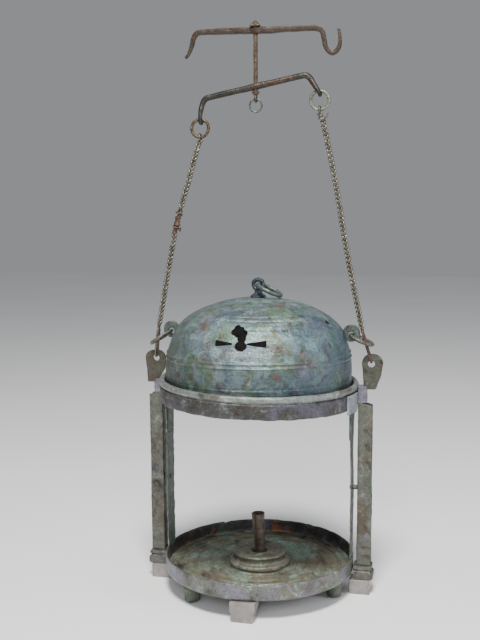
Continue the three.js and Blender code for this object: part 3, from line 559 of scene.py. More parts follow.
def make_finishes(colours):
    """Every finish of the lantern, by name."""
    lid, body, pan = (tuple(getattr(colours, key)) for key in ("lid", "frame", "pan"))
    handle, chain, copper = (tuple(getattr(colours, key)) for key in ("handle", "chain", "copper"))
    crown = LID_BASE + LID_RISE
    return {
        "lid": patina("Lid_patina", lid, tint("283236"), tint("aeb5b8"), (
            (PINK, 22, 0.57, 0.6), (TEAL, 34, 0.53, 0.75), (LILAC, 36, 0.57, 0.65), (NAVY, 30, 0.56, 0.7),
            (MOSS, 40, 0.52, 0.85), (SKY, 44, 0.58, 0.85), (PALE_GREEN, 52, 0.57, 0.85),
            (OLIVE, 48, 0.56, 0.85), (BROWN, 54, 0.57, 0.85), (ORANGE, 60, 0.62, 0.6)), 64, (0.28, 0.5), 0.5,
            # the lid is painted darker towards its base: painted shade on the lower wall
            0.6, darker_below=(LID_BASE - 4, crown - 26, 0.5), lines=0.6,
            sides=((OLIVE, -35, -90, 0.6), (tint("3a5268"), 30, 90, 0.5))),
        # near-black inner faces of the lid: painted shade inside the dome, seen through the vent
        "inside_shade": patina("Painted_shade_inside", tint("1d1b19"), tint("0c0b0a"), tint("2c2a27"), (
            (BROWN, 80, 0.6, 0.4),), 80, (0.6, 0.85), 0.1, 0.3, shift=6.8),
        "frame": patina("Frame_patina", body, tint("323331"), tint("b4bab3"), (
            (LILAC, 34, 0.52, 0.75), (BROWN, 50, 0.56, 0.7), (ORANGE, 80, 0.65, 0.6),
            (PALE, 60, 0.61, 0.6)), 80, (0.34, 0.6), 0.45, 0.45, shift=0.2,
            darker_below=(RING_LIP - 8.6, RING_LIP - 6.2, 0.5)),
        "lip": patina("Lip_patina", tint("757b76"), tint("373a36"), tint("bcc2bb"), (
            (PALE_GREEN, 50, 0.6, 0.5), (BROWN, 34, 0.55, 0.7), (LILAC, 30, 0.57, 0.5), (ORANGE, 90, 0.67, 0.6)),
            90, (0.3, 0.5), 0.4, 0.4, shift=0.35),
        "post": patina("Post_patina", tint("56564e"), tint("252722"), tint("868780"), (
            (GREEN, 60, 0.57, 0.6), (BROWN, 42, 0.54, 0.7), (LILAC, 50, 0.6, 0.4),
            (PALE_GREEN, 110, 0.64, 0.6)), 95, (0.36, 0.6), 0.45, 0.4, shift=0.5),
        "strip": patina("Strip_patina", tint("4f5750"), tint("222b27"), tint("8a9088"), (
            (GREEN, 70, 0.56, 0.6), (BROWN, 60, 0.58, 0.7), (ORANGE, 90, 0.68, 0.5)),
            110, (0.45, 0.7), 0.3, 0.45, shift=0.8),
        "lilac": patina("Lug_patina", tint("64616b"), tint("37363b"), tint("918e95"), (
            (BROWN, 90, 0.6, 0.6),), 110, (0.5, 0.7), 0.25, 0.4, shift=1.1),
        "tongue": patina("Tongue_patina", tint("45463d"), tint("201f19"), tint("6e7063"), (
            (BROWN, 60, 0.52, 0.7), (GREEN, 80, 0.6, 0.5), (LILAC, 70, 0.64, 0.4)),
            90, (0.4, 0.65), 0.4, 0.45, shift=1.4),
        "pan": patina("Pan_patina", pan, tint("33352f"), tint("a2a5a3"), (
            (LILAC, 34, 0.53, 0.7), (BROWN, 44, 0.56, 0.7), (OLIVE, 50, 0.57, 0.6),
            (SKY, 60, 0.63, 0.5), (PALE_GREEN, 56, 0.6, 0.6), (ORANGE, 80, 0.67, 0.7)),
            62, (0.34, 0.58), 0.45, 0.45, shift=1.7),
        "pan_floor": patina("Pan_floor_patina", tint("6a6757"), tint("302d23"), tint("989886"), (
            (BROWN, 26, 0.55, 0.7), (GREEN, 40, 0.57, 0.55), (PALE_GREEN, 21, 0.52, 0.8),
            (ORANGE, 46, 0.64, 0.5)), 62, (0.36, 0.6), 0.35, 0.5, shift=2.15),
        # dark inner wall of the pan: painted shade, with real patches of blue, green, lilac and orange
        "pan_wall_and_shade": patina("Pan_wall_patina_and_painted_shade", tint("3a3735"), tint("181618"), tint("625e66"), (
            (NAVY, 30, 0.56, 0.6), (GREEN, 40, 0.57, 0.6), (LILAC, 50, 0.6, 0.7), (ORANGE, 30, 0.59, 0.9)),
            80, (0.36, 0.6), 0.4, 0.45, shift=2.4),
        "boss": patina("Boss_patina", tint("737164"), tint("34332a"), tint("a6a699"), (
            (GREEN, 60, 0.57, 0.6), (BROWN, 50, 0.55, 0.7), (PALE_GREEN, 60, 0.58, 0.6)),
            90, (0.36, 0.6), 0.4, 0.45, shift=2.0),
        "tube": patina("Tube_patina", tint("5a5047"), tint("241e19"), tint("8a817a"), (
            (BROWN, 60, 0.56, 0.5), (GREEN, 120, 0.64, 0.4)), 130, (0.34, 0.56), 0.5, 0.4, shift=2.3),
        "foot": patina("Foot_patina", tint("4c5347"), tint("252a23"), tint("7f8778"), (
            (GREEN, 90, 0.58, 0.5), (BROWN, 90, 0.6, 0.5)), 110, (0.5, 0.72), 0.25, 0.45, shift=2.6),
        "handle": patina("Handle_patina", handle, tint("1c1511"), tint("614f3e"), (
            (OLIVE, 80, 0.57, 0.5), (TEAL, 90, 0.63, 0.3)), 110, (0.32, 0.55), 0.5, 0.4, shift=2.9),
        "rod": patina("Rod_patina", tint("493a2b"), tint("211912"), tint("80705a"), (
            (OLIVE, 90, 0.58, 0.6), (ORANGE, 120, 0.68, 0.4)), 130, (0.3, 0.52), 0.5, 0.4, shift=3.2),
        "carry": patina("Carrying_bar_patina", tint("2b2924"), tint("141411"), tint("4d4c42"), (
            (BROWN, 56, 0.53, 0.8), (TEAL, 80, 0.6, 0.5), (PALE_GREEN, 110, 0.66, 0.4)),
            120, (0.32, 0.56), 0.5, 0.4, shift=3.5),
        "small_ring": patina("Rod_ring_patina", tint("4a5150"), tint("20241f"), tint("8c9290"), (
            (BROWN, 150, 0.6, 0.5),), 150, (0.3, 0.5), 0.5, 0.3, shift=3.8),
        "copper": patina("Coppery_wire", tint("4e3f2e"), tint("241b14"), tint("82704f"), (
            (OLIVE, 150, 0.58, 0.5),), 160, (0.28, 0.48), 0.55, 0.3, shift=4.1),
        "grey_wire": patina("Grey_green_wire", tint("64675a"), tint("2f3129"), tint("a3a695"), (
            (BROWN, 90, 0.56, 0.7), (PALE_GREEN, 110, 0.62, 0.5)), 140, (0.32, 0.54), 0.45, 0.35,
            shift=4.4),
        "guide": patina("Guide_ring_patina", tint("57574f"), tint("272722"), tint("8d8d85"), (
            (BROWN, 120, 0.58, 0.6), (LILAC, 90, 0.6, 0.5)), 140, (0.36, 0.58), 0.45, 0.35, shift=4.55),
        "chain": patina("Chain_patina", chain, tint("2b2720"), tint("a6a190"), (
            (BROWN, 70, 0.58, 0.6), (GREEN, 90, 0.66, 0.4)), 200, (0.26, 0.46), 0.6, 0.25, False, 4.7),
        # the chains' dark inner rod: painted shade showing between the links
        "core": patina("Chain_shadow", tint("2a251e"), tint("15120e"), tint("3d372d"), (
            (BROWN, 70, 0.58, 0.5),), 200, (0.5, 0.7), 0.3, 0.3, False, 4.9),
        "repair": patina("Repair_patina", copper, tint("2a1711"), tint("8a6450"), (
            (BROWN, 120, 0.56, 0.6),), 180, (0.4, 0.62), 0.35, 0.5, shift=5.0),
        "link": patina("Link_patina", tint("6b6156"), tint("35302a"), tint("a09788"), (
            (ORANGE, 160, 0.66, 0.4),), 160, (0.36, 0.58), 0.4, 0.4, shift=5.6),
        "eye": patina("Eye_patina", tint("30363f"), tint("16191e"), tint("646d76"), (
            (TEAL, 100, 0.57, 0.6),), 150, (0.32, 0.56), 0.4, 0.45, shift=5.3),
        "lid_ring": patina("Lid_ring_patina", tint("535c5b"), tint("252b2a"), tint("8e9894"), (
            (BROWN, 130, 0.6, 0.5), (SKY, 150, 0.64, 0.5)), 150, (0.3, 0.52), 0.45, 0.4, shift=5.9),
        "ear": patina("Ear_patina", tint("4c5651"), tint("232a27"), tint("7d8781"), (
            (BROWN, 100, 0.58, 0.6), (LILAC, 90, 0.62, 0.4)), 130, (0.38, 0.6), 0.4, 0.4, shift=6.2),
        "sleeve": patina("Sleeve_patina", tint("878c90"), tint("484c50"), tint("c4c8c8"), (
            (LILAC, 60, 0.56, 0.6), (PALE_GREEN, 90, 0.6, 0.5), (BROWN, 110, 0.64, 0.5)),
            110, (0.34, 0.56), 0.4, 0.45, shift=6.5),
        "pads": frosted("Frosted_pads", tuple(colours.pads)),
    }


FINISHES = {}


def sizes():
    return bpy.context.scene.lantern_sizes


# ---------------------------------------------------------------- handle, rod and carrying bar
def make_handle():
    s = sizes()
    above = [
        (-71.8, -23.2, 0.5), (-67.4, -17.3, 0.62), (-64.7, -10.9, 0.72), (-63.4, -4.6, 0.8),
        (-59.4, 0.1, 0.86), (-50, 0.9, 0.92), (-26, 0.5, 1), (-8, 0.2, 1.12), (ROD_X, 0, 1.3),
        (5, -0.1, 1.12), (30, -0.3, 0.96), (54, -0.5, 0.88), (61.8, -3.3, 0.82), (64.4, -10.9, 0.76),
        (66.3, -19.3, 0.72), (71.7, -24.2, 0.7), (77.3, -20.5, 0.66), (79.4, -12.7, 0.6), (78.2, -1.8, 0.5)]
    obj = bar("handle_hooked_bar", [(x, 0, HANDLE_Z + up, share) for x, up, share in above],
              s.handle_half, square=True, per=8, tilt=math.pi / 4)
    nudge(obj, s.wear * 1.1, 14, 3)
    nudge(obj, s.wear * 0.5, 4, 4)
    cut(obj, [drill(2.62, (ROD_X, 0, HANDLE_Z - 12), (ROD_X, 0, HANDLE_Z + 12))])
    finish_piece(smooth(obj), "handle", "handle_bar", FINISHES["handle"], "handle_bronze")


def make_rod():
    s = sizes()
    shaft_top = ROD_HEAD - 5.6
    stop = bottom_of("lift_rod") / MM + 11
    eye_z = stop - 7
    shaft = bar("shaft", [(ROD_X, 0, stop - 1), (ROD_X, 0, stop + 20), (ROD_X, 0, stop + 40),
                          (ROD_X, 0, shaft_top)], 2.15, square=True, tilt=math.pi / 4, per=10)
    nudge(shaft, s.wear * 0.5, 8, 5, axes=(1, 1, 0))
    deselect()
    bpy.ops.mesh.primitive_cone_add(
        vertices=4, radius1=7.6 * MM, radius2=1.1 * MM, depth=5.8 * MM,
        location=(ROD_X * MM, 0, (ROD_HEAD - 3.1) * MM), rotation=(0, 0, math.pi / 4))
    bpy.ops.object.transform_apply(location=True, rotation=True, scale=True)
    head = bpy.context.active_object
    modify(head, "BEVEL", width=0.7 * MM, segments=3)
    collar = turned("collar", [(0, stop), (3.2, stop), (3.9, stop - 0.6), (3.7, stop - 1.6),
                               (2.3, stop - 3), (1.5, stop - 4.4), (0, stop - 4.6)], 24, False)
    for vertex in collar.data.vertices:
        vertex.co.x += ROD_X * MM
    ring = [(ROD_X, 2.9 * math.sin(a), eye_z + 2.9 * math.cos(a))
            for a in (TURN * i / 10 for i in range(10))]
    eye = bar("eye", ring, 1.2, cyclic=True, per=3)
    obj = joined("lifting_rod", [shaft, head, collar, eye])
    finish_piece(smooth(obj), "rod", "lift_rod", FINISHES["rod"], "rod_bronze")


def ring_points(centre, radius, tall=1.0, count=16, gap=0.0):
    """Points round a ring in the X and Z plane, opened by a gap in turns."""
    x, y, z = centre
    found = []
    for i in range(count):
        a = TURN * (gap / 2 + (1 - gap) * i / (count if gap == 0 else count - 1))
        found.append((x + radius * math.sin(a), y, z - radius * tall * math.cos(a)))
    return found


def make_rod_ring():
    centre = middle("rod_ring") / MM
    obj = bar("rod_end_ring", ring_points(centre, 6.0), 0.95, cyclic=True, per=4)
    nudge(obj, 0.3, 5, 7)
    finish_piece(smooth(obj), "rod_end_ring", "rod_ring", FINISHES["small_ring"], "rod_ring_bronze")


def top_ring_place(side):
    centre = middle(f"top_ring_{side}") / MM
    return centre, (8.6 if side == "left" else 8.85)


def make_carrying_bar():
    s = sizes()
    (left, left_r), (right, right_r) = top_ring_place("left"), top_ring_place("right")
    wrap = 1.5 + 0.3 + 1.9
    lz, rz = left.z + left_r, right.z + right_r
    thin = 1.9 / s.carry_half
    path = [
        (left.x + 1, wrap, lz + 1, thin * 0.7), (left.x + 1, wrap * 0.72, lz - wrap * 0.75, thin * 0.9),
        (left.x + 1, 0, lz - wrap, thin), (left.x + 1, -wrap * 0.8, lz - wrap * 0.72, thin),
        (left.x + 1.1, -wrap - 0.3, lz + 1.6, thin), (left.x + 1.8, -2.8, lz + 8, 0.8),
        (left.x + 2.4, -1.2, CARRY_Z - 17.2, 0.88), (-53.6, -0.2, CARRY_Z - 12.2, 0.95),
        (-50.6, 0, CARRY_Z - 9.5, 1), (-45, 0, CARRY_Z - 8.2, 1), (-36, 0, CARRY_Z - 6.3, 1),
        (-22, 0, CARRY_Z - 3.8, 1), (-9, 0, CARRY_Z - 1.4, 1.1), (ROD_X, 0, CARRY_Z, 1.25),
        (6, 0, CARRY_Z + 1.4, 1.1), (30, 0, CARRY_Z + 6, 1), (42, 0, CARRY_Z + 8.2, 1),
        (47, 0, CARRY_Z + 8.6, 1), (51, -0.2, CARRY_Z + 5.9, 0.96), (54.2, -1.4, CARRY_Z + 1, 0.88),
        (57.2, -3, CARRY_Z - 3.6, 0.78), (right.x - 0.9, -wrap - 0.2, rz - 0.4, thin),
        (right.x, -wrap * 0.72, rz - wrap * 0.75, thin), (right.x, 0, rz - wrap, thin),
        (right.x, wrap * 0.8, rz - wrap * 0.7, thin * 0.9), (right.x, wrap + 0.1, rz + 1, thin * 0.7)]
    obj = bar("ring_carrying_bar", path, s.carry_half, per=7, round_steps=3)
    nudge(obj, s.wear * 0.5, 10, 9)
    cut(obj, [drill(2.75, (ROD_X, 0, CARRY_Z - 12), (ROD_X, 0, CARRY_Z + 12))])
    finish_piece(smooth(obj), "carrier", "carrying_bar", FINISHES["carry"], "carrying_bar_bronze")


def make_top_rings():
    for side, body, finish, slot in (
            ("left", "left_chain_set", "copper", "coppery_wire"),
            ("right", "right_chain_set", "grey_wire", "grey_green_wire")):
        centre, radius = top_ring_place(side)
        obj = bar(f"chain_ring_{side}", ring_points(centre, radius), 1.5, cyclic=True, per=4)
        nudge(obj, 0.35, 6, 11)
        finish_piece(smooth(obj), body, f"top_ring_{side}", FINISHES[finish], slot)


# ---------------------------------------------------------------- chains
RIGHT_TOP, RIGHT_END = Vector((61.1, 0, 467.85)), Vector((102.6, 0, 261.0))
LEFT_TOP, LEFT_END = Vector((-58.4, 0, 444.8)), Vector((-103.4, 0, 261.0))
JOINT_FROM, JOINT_TO, JOINT_BOW = 0.363, 0.5, 4.6


def along(top, end, share, bow):
    """A point a share of the way down a chain, set out from the straight line by its bow."""
    side = 1 if top.x > 0 else -1
    return top.lerp(end, share) + Vector((side * bow, 0, 0))


def chain_link():
    """One loop of a plaited chain, folded so that both ends stand up."""
    s = sizes()
    reach = s.chain_half - s.link_wire
    points = []
    for i in range(12):
        a = TURN * i / 12
        rise = abs(math.cos(a)) ** 1.3
        points.append((reach * math.cos(a), 1.7 * math.sin(a), 4.6 * rise))
    link = bar("link", points, s.link_wire, cyclic=True, per=1, round_steps=1)
    for polygon in link.data.polygons:
        polygon.use_smooth = True
    return link


def plait(name, path):
    """Lays two crossed rows of links down a smooth line."""
    s = sizes()
    line = spline(path, per=40)
    lengths = [0.0]
    for a, b in zip(line, line[1:]):
        lengths.append(lengths[-1] + (b - a).length)
    link = chain_link()
    copies = []
    pitch = s.link_pitch / 2
    count = int((lengths[-1] - 1.5) / pitch)
    at = 0
    for i in range(count + 1):
        want = lengths[-1] * (i + 0.4) / (count + 0.9)
        while at < len(lengths) - 2 and lengths[at + 1] < want:
            at += 1
        share = (want - lengths[at]) / max(1e-9, lengths[at + 1] - lengths[at])
        spot = line[at].lerp(line[at + 1], share)
        up = (line[max(at - 3, 0)] - line[min(at + 4, len(line) - 1)]).normalized()
        front = Vector((0, 1, 0))
        side = front.cross(up).normalized()
        turn = Matrix((side, front, up)).transposed().to_4x4()
        twist = Matrix.Rotation(math.pi / 2 * (i % 2) + 0.12 * noise.noise(Vector((i * 0.9, 4, 2))), 4, "Z")
        copy = link.copy()
        copy.data = link.data.copy()
        bpy.context.scene.collection.objects.link(copy)
        copy.data.transform(Matrix.Scale(MM, 4).inverted())
        if i % 2:
            copy.data.transform(Matrix.Diagonal((0.86, 0.62, 1, 1)))
        copy.data.transform(twist)
        copy.data.transform(turn)
        copy.data.transform(Matrix.Translation(spot - up * 2.1))
        copy.data.transform(Matrix.Scale(MM, 4))
        copies.append(copy)
    bpy.data.objects.remove(link)
    # a dark rod down the middle of the chain, painted shade showing between the links
    core = bar("core", path, 1.25, per=8, round_steps=1)
    bpy.context.view_layer.update()
    core.data.materials.append(None)
    core.data.materials.append(None)
    for polygon in core.data.polygons:
        polygon.material_index = 1
    return joined(name, [core] + copies)


def top_loop(side):
    """The wire loop that joins a chain to its top ring."""
    centre, radius = top_ring_place(side)
    z = centre.z - radius
    points = [(centre.x, 3.2 * math.sin(a), z + 3.2 * math.cos(a)) for a in (TURN * i / 12 for i in range(12))]
    return bar("loop", points, 1.15, cyclic=True, per=3)


def make_chains():
    right = plait("right_links", [
        RIGHT_TOP, along(RIGHT_TOP, RIGHT_END, 0.045, 1.2), along(RIGHT_TOP, RIGHT_END, 0.32, 1.6),
        along(RIGHT_TOP, RIGHT_END, 0.64, -0.2), RIGHT_END])
    wrap = []
    for i in range(30):
        a = TURN * i / 10
        wrap.append((61.4 + 0.02 * i + 2.5 * math.cos(a), 2.5 * math.sin(a), 467.2 - 0.16 * i))
    wrap += [(64.6, -2.4, 462), (67.2, -2.8, 464.5), (68.6, -2.6, 468)]
    tail = bar("tail", wrap, 0.6, per=2, round_steps=2)
    finish_piece(smooth(joined("right_plaited_chain", [right, top_loop("right"), tail]), 60),
                 "right_chain_set", "right_chain", FINISHES["chain"], "chain_bronze", FINISHES["core"])
    upper = plait("upper_links", [
        LEFT_TOP, along(LEFT_TOP, LEFT_END, 0.045, 1), along(LEFT_TOP, LEFT_END, 0.2, 2.3),
        along(LEFT_TOP, LEFT_END, JOINT_FROM, JOINT_BOW)])
    finish_piece(smooth(joined("left_plaited_chain_upper", [upper, top_loop("left")]), 60),
                 "left_chain_set", "left_chain_upper", FINISHES["chain"], "chain_bronze", FINISHES["core"])
    lower = plait("left_plaited_chain_lower", [
        along(LEFT_TOP, LEFT_END, JOINT_TO, JOINT_BOW), along(LEFT_TOP, LEFT_END, 0.64, 3.4),
        along(LEFT_TOP, LEFT_END, 0.84, 1.5), LEFT_END])
    finish_piece(smooth(lower, 60), "left_chain_set", "left_chain_lower", FINISHES["chain"], "chain_bronze", FINISHES["core"])


def make_repair():
    """The wire repair where the left chain was mended: a wound knot and its loose ends."""
    start = along(LEFT_TOP, LEFT_END, JOINT_FROM, JOINT_BOW) + Vector((0, 0, 1))
    end = along(LEFT_TOP, LEFT_END, JOINT_TO, JOINT_BOW) + Vector((0, 0, -1.5))
    core = []
    for i in range(9):
        share = i / 8
        spot = start.lerp(end, share)
        sway = math.sin(share * TURN) * 0.8
        core.append((spot.x + sway, 0.4 * math.cos(share * 5), spot.z, 1 + 0.45 * math.sin(share * math.pi)))
    knot = bar("knot", core, 1.7, per=5)
    nudge(knot, 1.5, 4.5, 13)
    wound = []
    turns, steps = 5, 12
    for i in range(turns * steps + 1):
        share = i / (turns * steps)
        a = TURN * i / steps
        spot = start.lerp(end, 0.08 + share * 0.62)
        reach = 2.7 + 0.5 * math.sin(share * 9)
        wound.append((spot.x + reach * math.cos(a), reach * math.sin(a), spot.z + 0.8 * math.sin(a * 0.5)))
    wound.append((spot.x + 4.6, -2.2, spot.z - 2.5))
    wound.append((spot.x + 5.4, -2.4, spot.z + 1.2))
    coil = bar("coil", wound, 0.75, per=2, round_steps=2)
    lower = bar("lower", [(end.x + 2.1 * math.cos(a), 1.8 * math.sin(a), end.z + 5 + 4.6 * math.sin(a + 0.5))
                          for a in (TURN * i / 12 for i in range(12))], 0.8, cyclic=True, per=2, round_steps=2)
    obj = joined("mended_chain_knot", [knot, coil, lower])
    finish_piece(smooth(obj, 60), "left_chain_set", "left_chain_repair_link", FINISHES["repair"],
                 "reddish_repair")


def make_hooks():
    for side, body, end, hole_x, finish, slot in (
            ("right", "right_chain_set", RIGHT_END, 111.6, "repair", "reddish_repair"),
            ("left", "left_chain_set", LEFT_END, -106.6, "link", "coppery_wire")):
        low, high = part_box(f"{side}_chain_hook")
        top = Vector((end.x + math.copysign(0.4, end.x), 0, high.z / MM - 1.3))
        bottom = Vector((hole_x, 0, low.z / MM + 1.3))
        down = (bottom - top).normalized()
        length = (bottom - top).length
        wide = 3.5
        half = [(0, 0), (0.9, 0.72), (3.2, 1), (length * 0.35, 0.98), (length * 0.65, 0.98),
                (length - 3.2, 1), (length - 0.9, 0.72), (length, 0)]
        both = half + [(a, -b) for a, b in half[-2:0:-1]]
        obj = bar(f"chain_hook_link_{side}", [tuple(top + down * a + Vector((0, wide * b, 0))) for a, b in both],
                  1.1, cyclic=True, per=4)
        nudge(obj, 0.25, 5, 15)
        finish_piece(smooth(obj), body, f"{side}_chain_hook", FINISHES[finish], slot)


# ---------------------------------------------------------------- lid
def dome_outline():
    """Outer line of the dome as radius and height, with its raised and cut lines."""
    s = sizes()
    shoulder = 35.8
    share = lambda v: shoulder + (LID_RISE - shoulder) * v
    rough = [(0.2, 0), (-0.1, 8), (-0.1, 16), (0.3, 24), (0.9, 29), (1.6, 33), (2.8, 37.5), (4.9, share(0.16)),
             (8.2, share(0.34)), (15, share(0.51)), (24, share(0.66)), (40, share(0.82)), (60, share(0.94)),
             (80, share(0.995)), (LID_R - 2.6, LID_RISE)]
    line = spline([(inset, height, 0) for inset, height in rough], per=12)
    found = []
    for inset, height, _ in line:
        r = LID_R - inset
        for ridge in (29.6, 33.8):
            r += s.ridge_height * math.exp(-((height - ridge) / 0.85) ** 2)
        r -= s.line_depth * 0.5 * math.exp(-((height - 10.8) / 0.7) ** 2)
        z = height
        for circle, depth in ((67.5, 1), (61.5, 1), (48, 0.6), (29, 0.9), (19.5, 0.9)):
            z -= s.line_depth * depth * math.exp(-((r - circle) / 0.9) ** 2)
        found.append((r, LID_BASE + z))
    return found


def fine(profile, step=1.1):
    """Adds points to a profile so that none lie further apart than a step."""
    found = [profile[0]]
    for a, b in zip(profile, profile[1:]):
        gap = math.dist(a, b)
        count = max(1, math.ceil(gap / step))
        found += [tuple(p + (q - p) * (i + 1) / count for p, q in zip(a, b)) for i in range(count)]
    return found


def wedge(start, end, half, z):
    """A wedge cutter that widens from its start to its end, through the front wall."""
    tip = 0.9
    outline = [(start, z - tip), (start, z + tip), (end, z + half), (end * 1.02, z), (end, z - half)]
    return slab("wedge", outline, 45, 110, "Y")


def vent_cutters(turned_round):
    z = LID_BASE + LID_RISE - 35.2
    holes = [(-6, 9.9, 2.9), (-3.3, 12.9, 3.1), (0.5, 11.6, 2.9), (4.2, 9.2, 2.6), (-2.6, 8.4, 3),
             (2.1, 4.6, 4.1), (2.9, 7.1, 3.3), (0.2, -2, 4.1), (3.6, -1.8, 3.8), (2, -2.7, 3.9)]
    tools = [drill(r, (-x, 45, z + up), (-x, 110, z + up), 18) for x, up, r in holes]
    tools += [wedge(6.2, 22.6, 2.9, z), wedge(-7.2, -24.4, 3.2, z)]
    for tool in tools:
        tool.data.transform(Matrix.Rotation(0 if turned_round else math.pi, 4, "Z"))
    return tools


def make_lid():
    s = sizes()
    outer = dome_outline()
    outer = [outer[0]] + [p for p, q in zip(outer[1:], outer) if math.dist(p, q) > 0.05]
    wall = 1.8
    inner = [(LID_R - wall, LID_BASE), (LID_R - wall, LID_BASE + 34)]
    inner += [(max(r - wall * 0.75, 2.6), z - wall) for r, z in outer if z > LID_BASE + 40]
    loop = fine(outer) + [(2.6, LID_BASE + LID_RISE - wall)] + inner[::-6]
    if loop[-1][1] > LID_BASE + 1:
        loop.append(inner[0])
    obj = turned("pierced_dome_lid", loop, s.lid_steps)
    for vertex in obj.data.vertices:
        height = vertex.co.z / MM - LID_BASE
        if height > 20:
            vertex.co.z += 0.7 * MM * noise.noise(vertex.co / 0.045) * min(1, (height - 20) / 30)
    nudge(obj, s.wear * 0.5, 16, 21, lambda p: p.z > LID_BASE + 3)
    reach = LID_R - 42, LID_R + 4
    for around in (-14.5, 165.5):
        a = math.radians(around)
        z = LID_BASE + LID_RISE - 22.8
        cut(obj, [drill(3.1, (reach[0] * math.cos(a), reach[0] * math.sin(a), z),
                        (reach[1] * math.cos(a), reach[1] * math.sin(a), z), 14)])
    for turned_round in (False, True):
        cut(obj, vent_cutters(turned_round))
    obj.data.materials.clear()
    for _ in range(2):
        obj.data.materials.append(None)
    centre = Vector((0, 0, LID_BASE + 12))
    paint_faces(obj, 0, lambda p, n: True)
    # inward faces of the lid get the near-black finish, painted shade
    paint_faces(obj, 1, lambda p, n: n.dot((p - centre).normalized()) < 0.2 and p.z > LID_BASE + 2)
    finish_piece(smooth(obj, 35), "lid", "lid_dome", FINISHES["lid"], "dome_patina", FINISHES["inside_shade"])


def make_lid_eye():
    z = LID_BASE + LID_RISE
    ring = bar("ring", [(4.9 * math.sin(a), 0, EYE_Z + 4.7 * math.cos(a)) for a in
                        (TURN * i / 12 for i in range(12))], 2.1, cyclic=True, per=4)
    neck = turned("neck", [(0, z + 0.2), (7.4, z + 0.2), (8, z + 0.9), (7, z + 1.9), (5.2, z + 2.8),
                           (3.9, z + 4), (3.7, EYE_Z - 6.4), (3.4, EYE_Z - 4.6), (0, EYE_Z - 4)], 28, False)
    shank = turned("shank", [(0, z + 0.5), (2.2, z + 0.5), (2.2, z - 2.6), (4.6, z - 2.6), (4.4, z - 3.4),
                             (0, z - 3.7)], 24, False)
    obj = joined("lid_eye_loop", [neck, ring, shank])
    nudge(obj, 0.6, 6, 23)
    finish_piece(smooth(obj), "lid", "lid_eye", FINISHES["eye"], "eye_blue_black")


def sloping_ring(name, radius, wire, start, slope, side=1, offset=0.0):
    """A ring hung from a point on its wire, sloping down and out to one side."""
    reach = math.sqrt(radius * radius - offset * offset)
    tip = Matrix.Rotation(math.radians(slope), 3, "Y")
    points = []
    for i in range(20):
        a = TURN * i / 20
        spot = tip @ Vector((reach + radius * math.cos(a), radius * math.sin(a), 0))
        points.append(tuple(Vector((spot.x * side, spot.y * side, spot.z)) + start))
    return bar(name, points, wire, cyclic=True, per=4)


def make_lid_ring():
    obj = sloping_ring("lid_lifting_ring", 12.4, 2.1, Vector((0, 0, EYE_Z)), 25.5)
    nudge(obj, 0.35, 7, 25)
    finish_piece(smooth(obj), "lid_lift_ring", "lid_ring", FINISHES["lid_ring"], "rod_ring_bronze")


def make_ears():
    for side in ("left", "right"):
        obj = reworked(f"lid_ear_{side}", f"lid_side_ear_{side}", 0.45, 0.3, 6, 27)
        finish_piece(smooth(obj), "lid", f"lid_ear_{side}", FINISHES["ear"], "ear_green")


def make_guide_rings():
    for side, sign, radius, slope, finish, slot in (
            ("right", 1, 11.6, 23, "guide", "grey_green_wire"),
            ("left", -1, 12.1, 33, "guide", "coppery_wire")):
        start = Vector((sign * EAR.x, 1.5, EAR.z))
        obj = sloping_ring(f"chain_guide_ring_{side}", radius, 1.85, start, slope, sign, EAR.y - 1.5)
        nudge(obj, 0.35, 6, 29)
        finish_piece(smooth(obj), f"{side}_guide", f"guide_ring_{side}", FINISHES[finish], slot)


# ---------------------------------------------------------------- frame
def racked(obj):
    """Lowers a piece towards its right, as the ring sits between the uprights."""
    for vertex in obj.data.vertices:
        vertex.co.z -= (vertex.co.x + 30 * MM) * math.tan(math.radians(1.3))
    return obj


def make_frame_ring():
    s = sizes()
    r, lip, base = RING_R, RING_LIP, RING_BASE
    seat = lip - 8
    loop = [(r - 3, base), (r - 0.5, base), (r, base + 0.6), (r, base + 7), (r - 0.2, base + 7.6), (r, base + 8.2),
            (r, lip - 8.4), (r - 0.5, lip - 7.4), (r - 1.5, lip - 6.7), (r - 1.4, lip - 6), (r - 0.3, lip - 5.4),
            (r + 0.3, lip - 4.3), (r + 0.5, lip - 2.8), (r + 0.2, lip - 1.3), (r - 0.8, lip - 0.3),
            (r - 2.4, lip), (r - 4, lip - 0.4), (r - 5, lip - 1.6),
            (r - 5.3, lip - 3.4), (r - 4.9, seat), (r - 14.4, seat), (r - 14.6, seat - 1.9), (r - 3, seat - 2)]
    obj = turned("bearing_ring", fine(loop, 2.2), 180)
    nudge(obj, s.wear * 0.7, 22, 31, lambda p: p.xy.length > RING_R - 4)
    nudge(obj, s.wear * 0.6, 5, 32, lambda p: p.z > RING_LIP - 4 or p.z < RING_BASE + 2)
    nudge(obj, s.wear * 1.6, 13, 34, lambda p: p.z < RING_BASE + 2, (0.3, 0.3, 1))
    obj.data.materials.clear()
    for _ in range(2):
        obj.data.materials.append(None)
    paint_faces(obj, 1, lambda p, n: p.z > lip - 6.4 and p.xy.length > r - 5.6)
    finish_piece(racked(smooth(obj, 50)), "lantern", "frame_ring", FINISHES["frame"], "frame_patina",
                 FINISHES["lip"])
    low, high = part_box("ring_sleeve")
    steps = 14
    turns = [math.radians(-21 + 15 * i / steps) for i in range(steps + 1)]
    outer = [((r + 1.5) * math.cos(a), (r + 1.5) * math.sin(a)) for a in turns]
    inner = [((r + 0.35) * math.cos(a), (r + 0.35) * math.sin(a)) for a in turns]
    patch = slab("ring_repair_sleeve", outer + inner[::-1], low.z / MM, high.z / MM, "Z", 8)
    nudge(patch, 2.4, 5, 33, lambda p: p.z < low.z / MM + 0.1, (0, 0, 1))
    finish_piece(racked(smooth(patch)), "lantern", "ring_sleeve", FINISHES["sleeve"], "frame_patina")


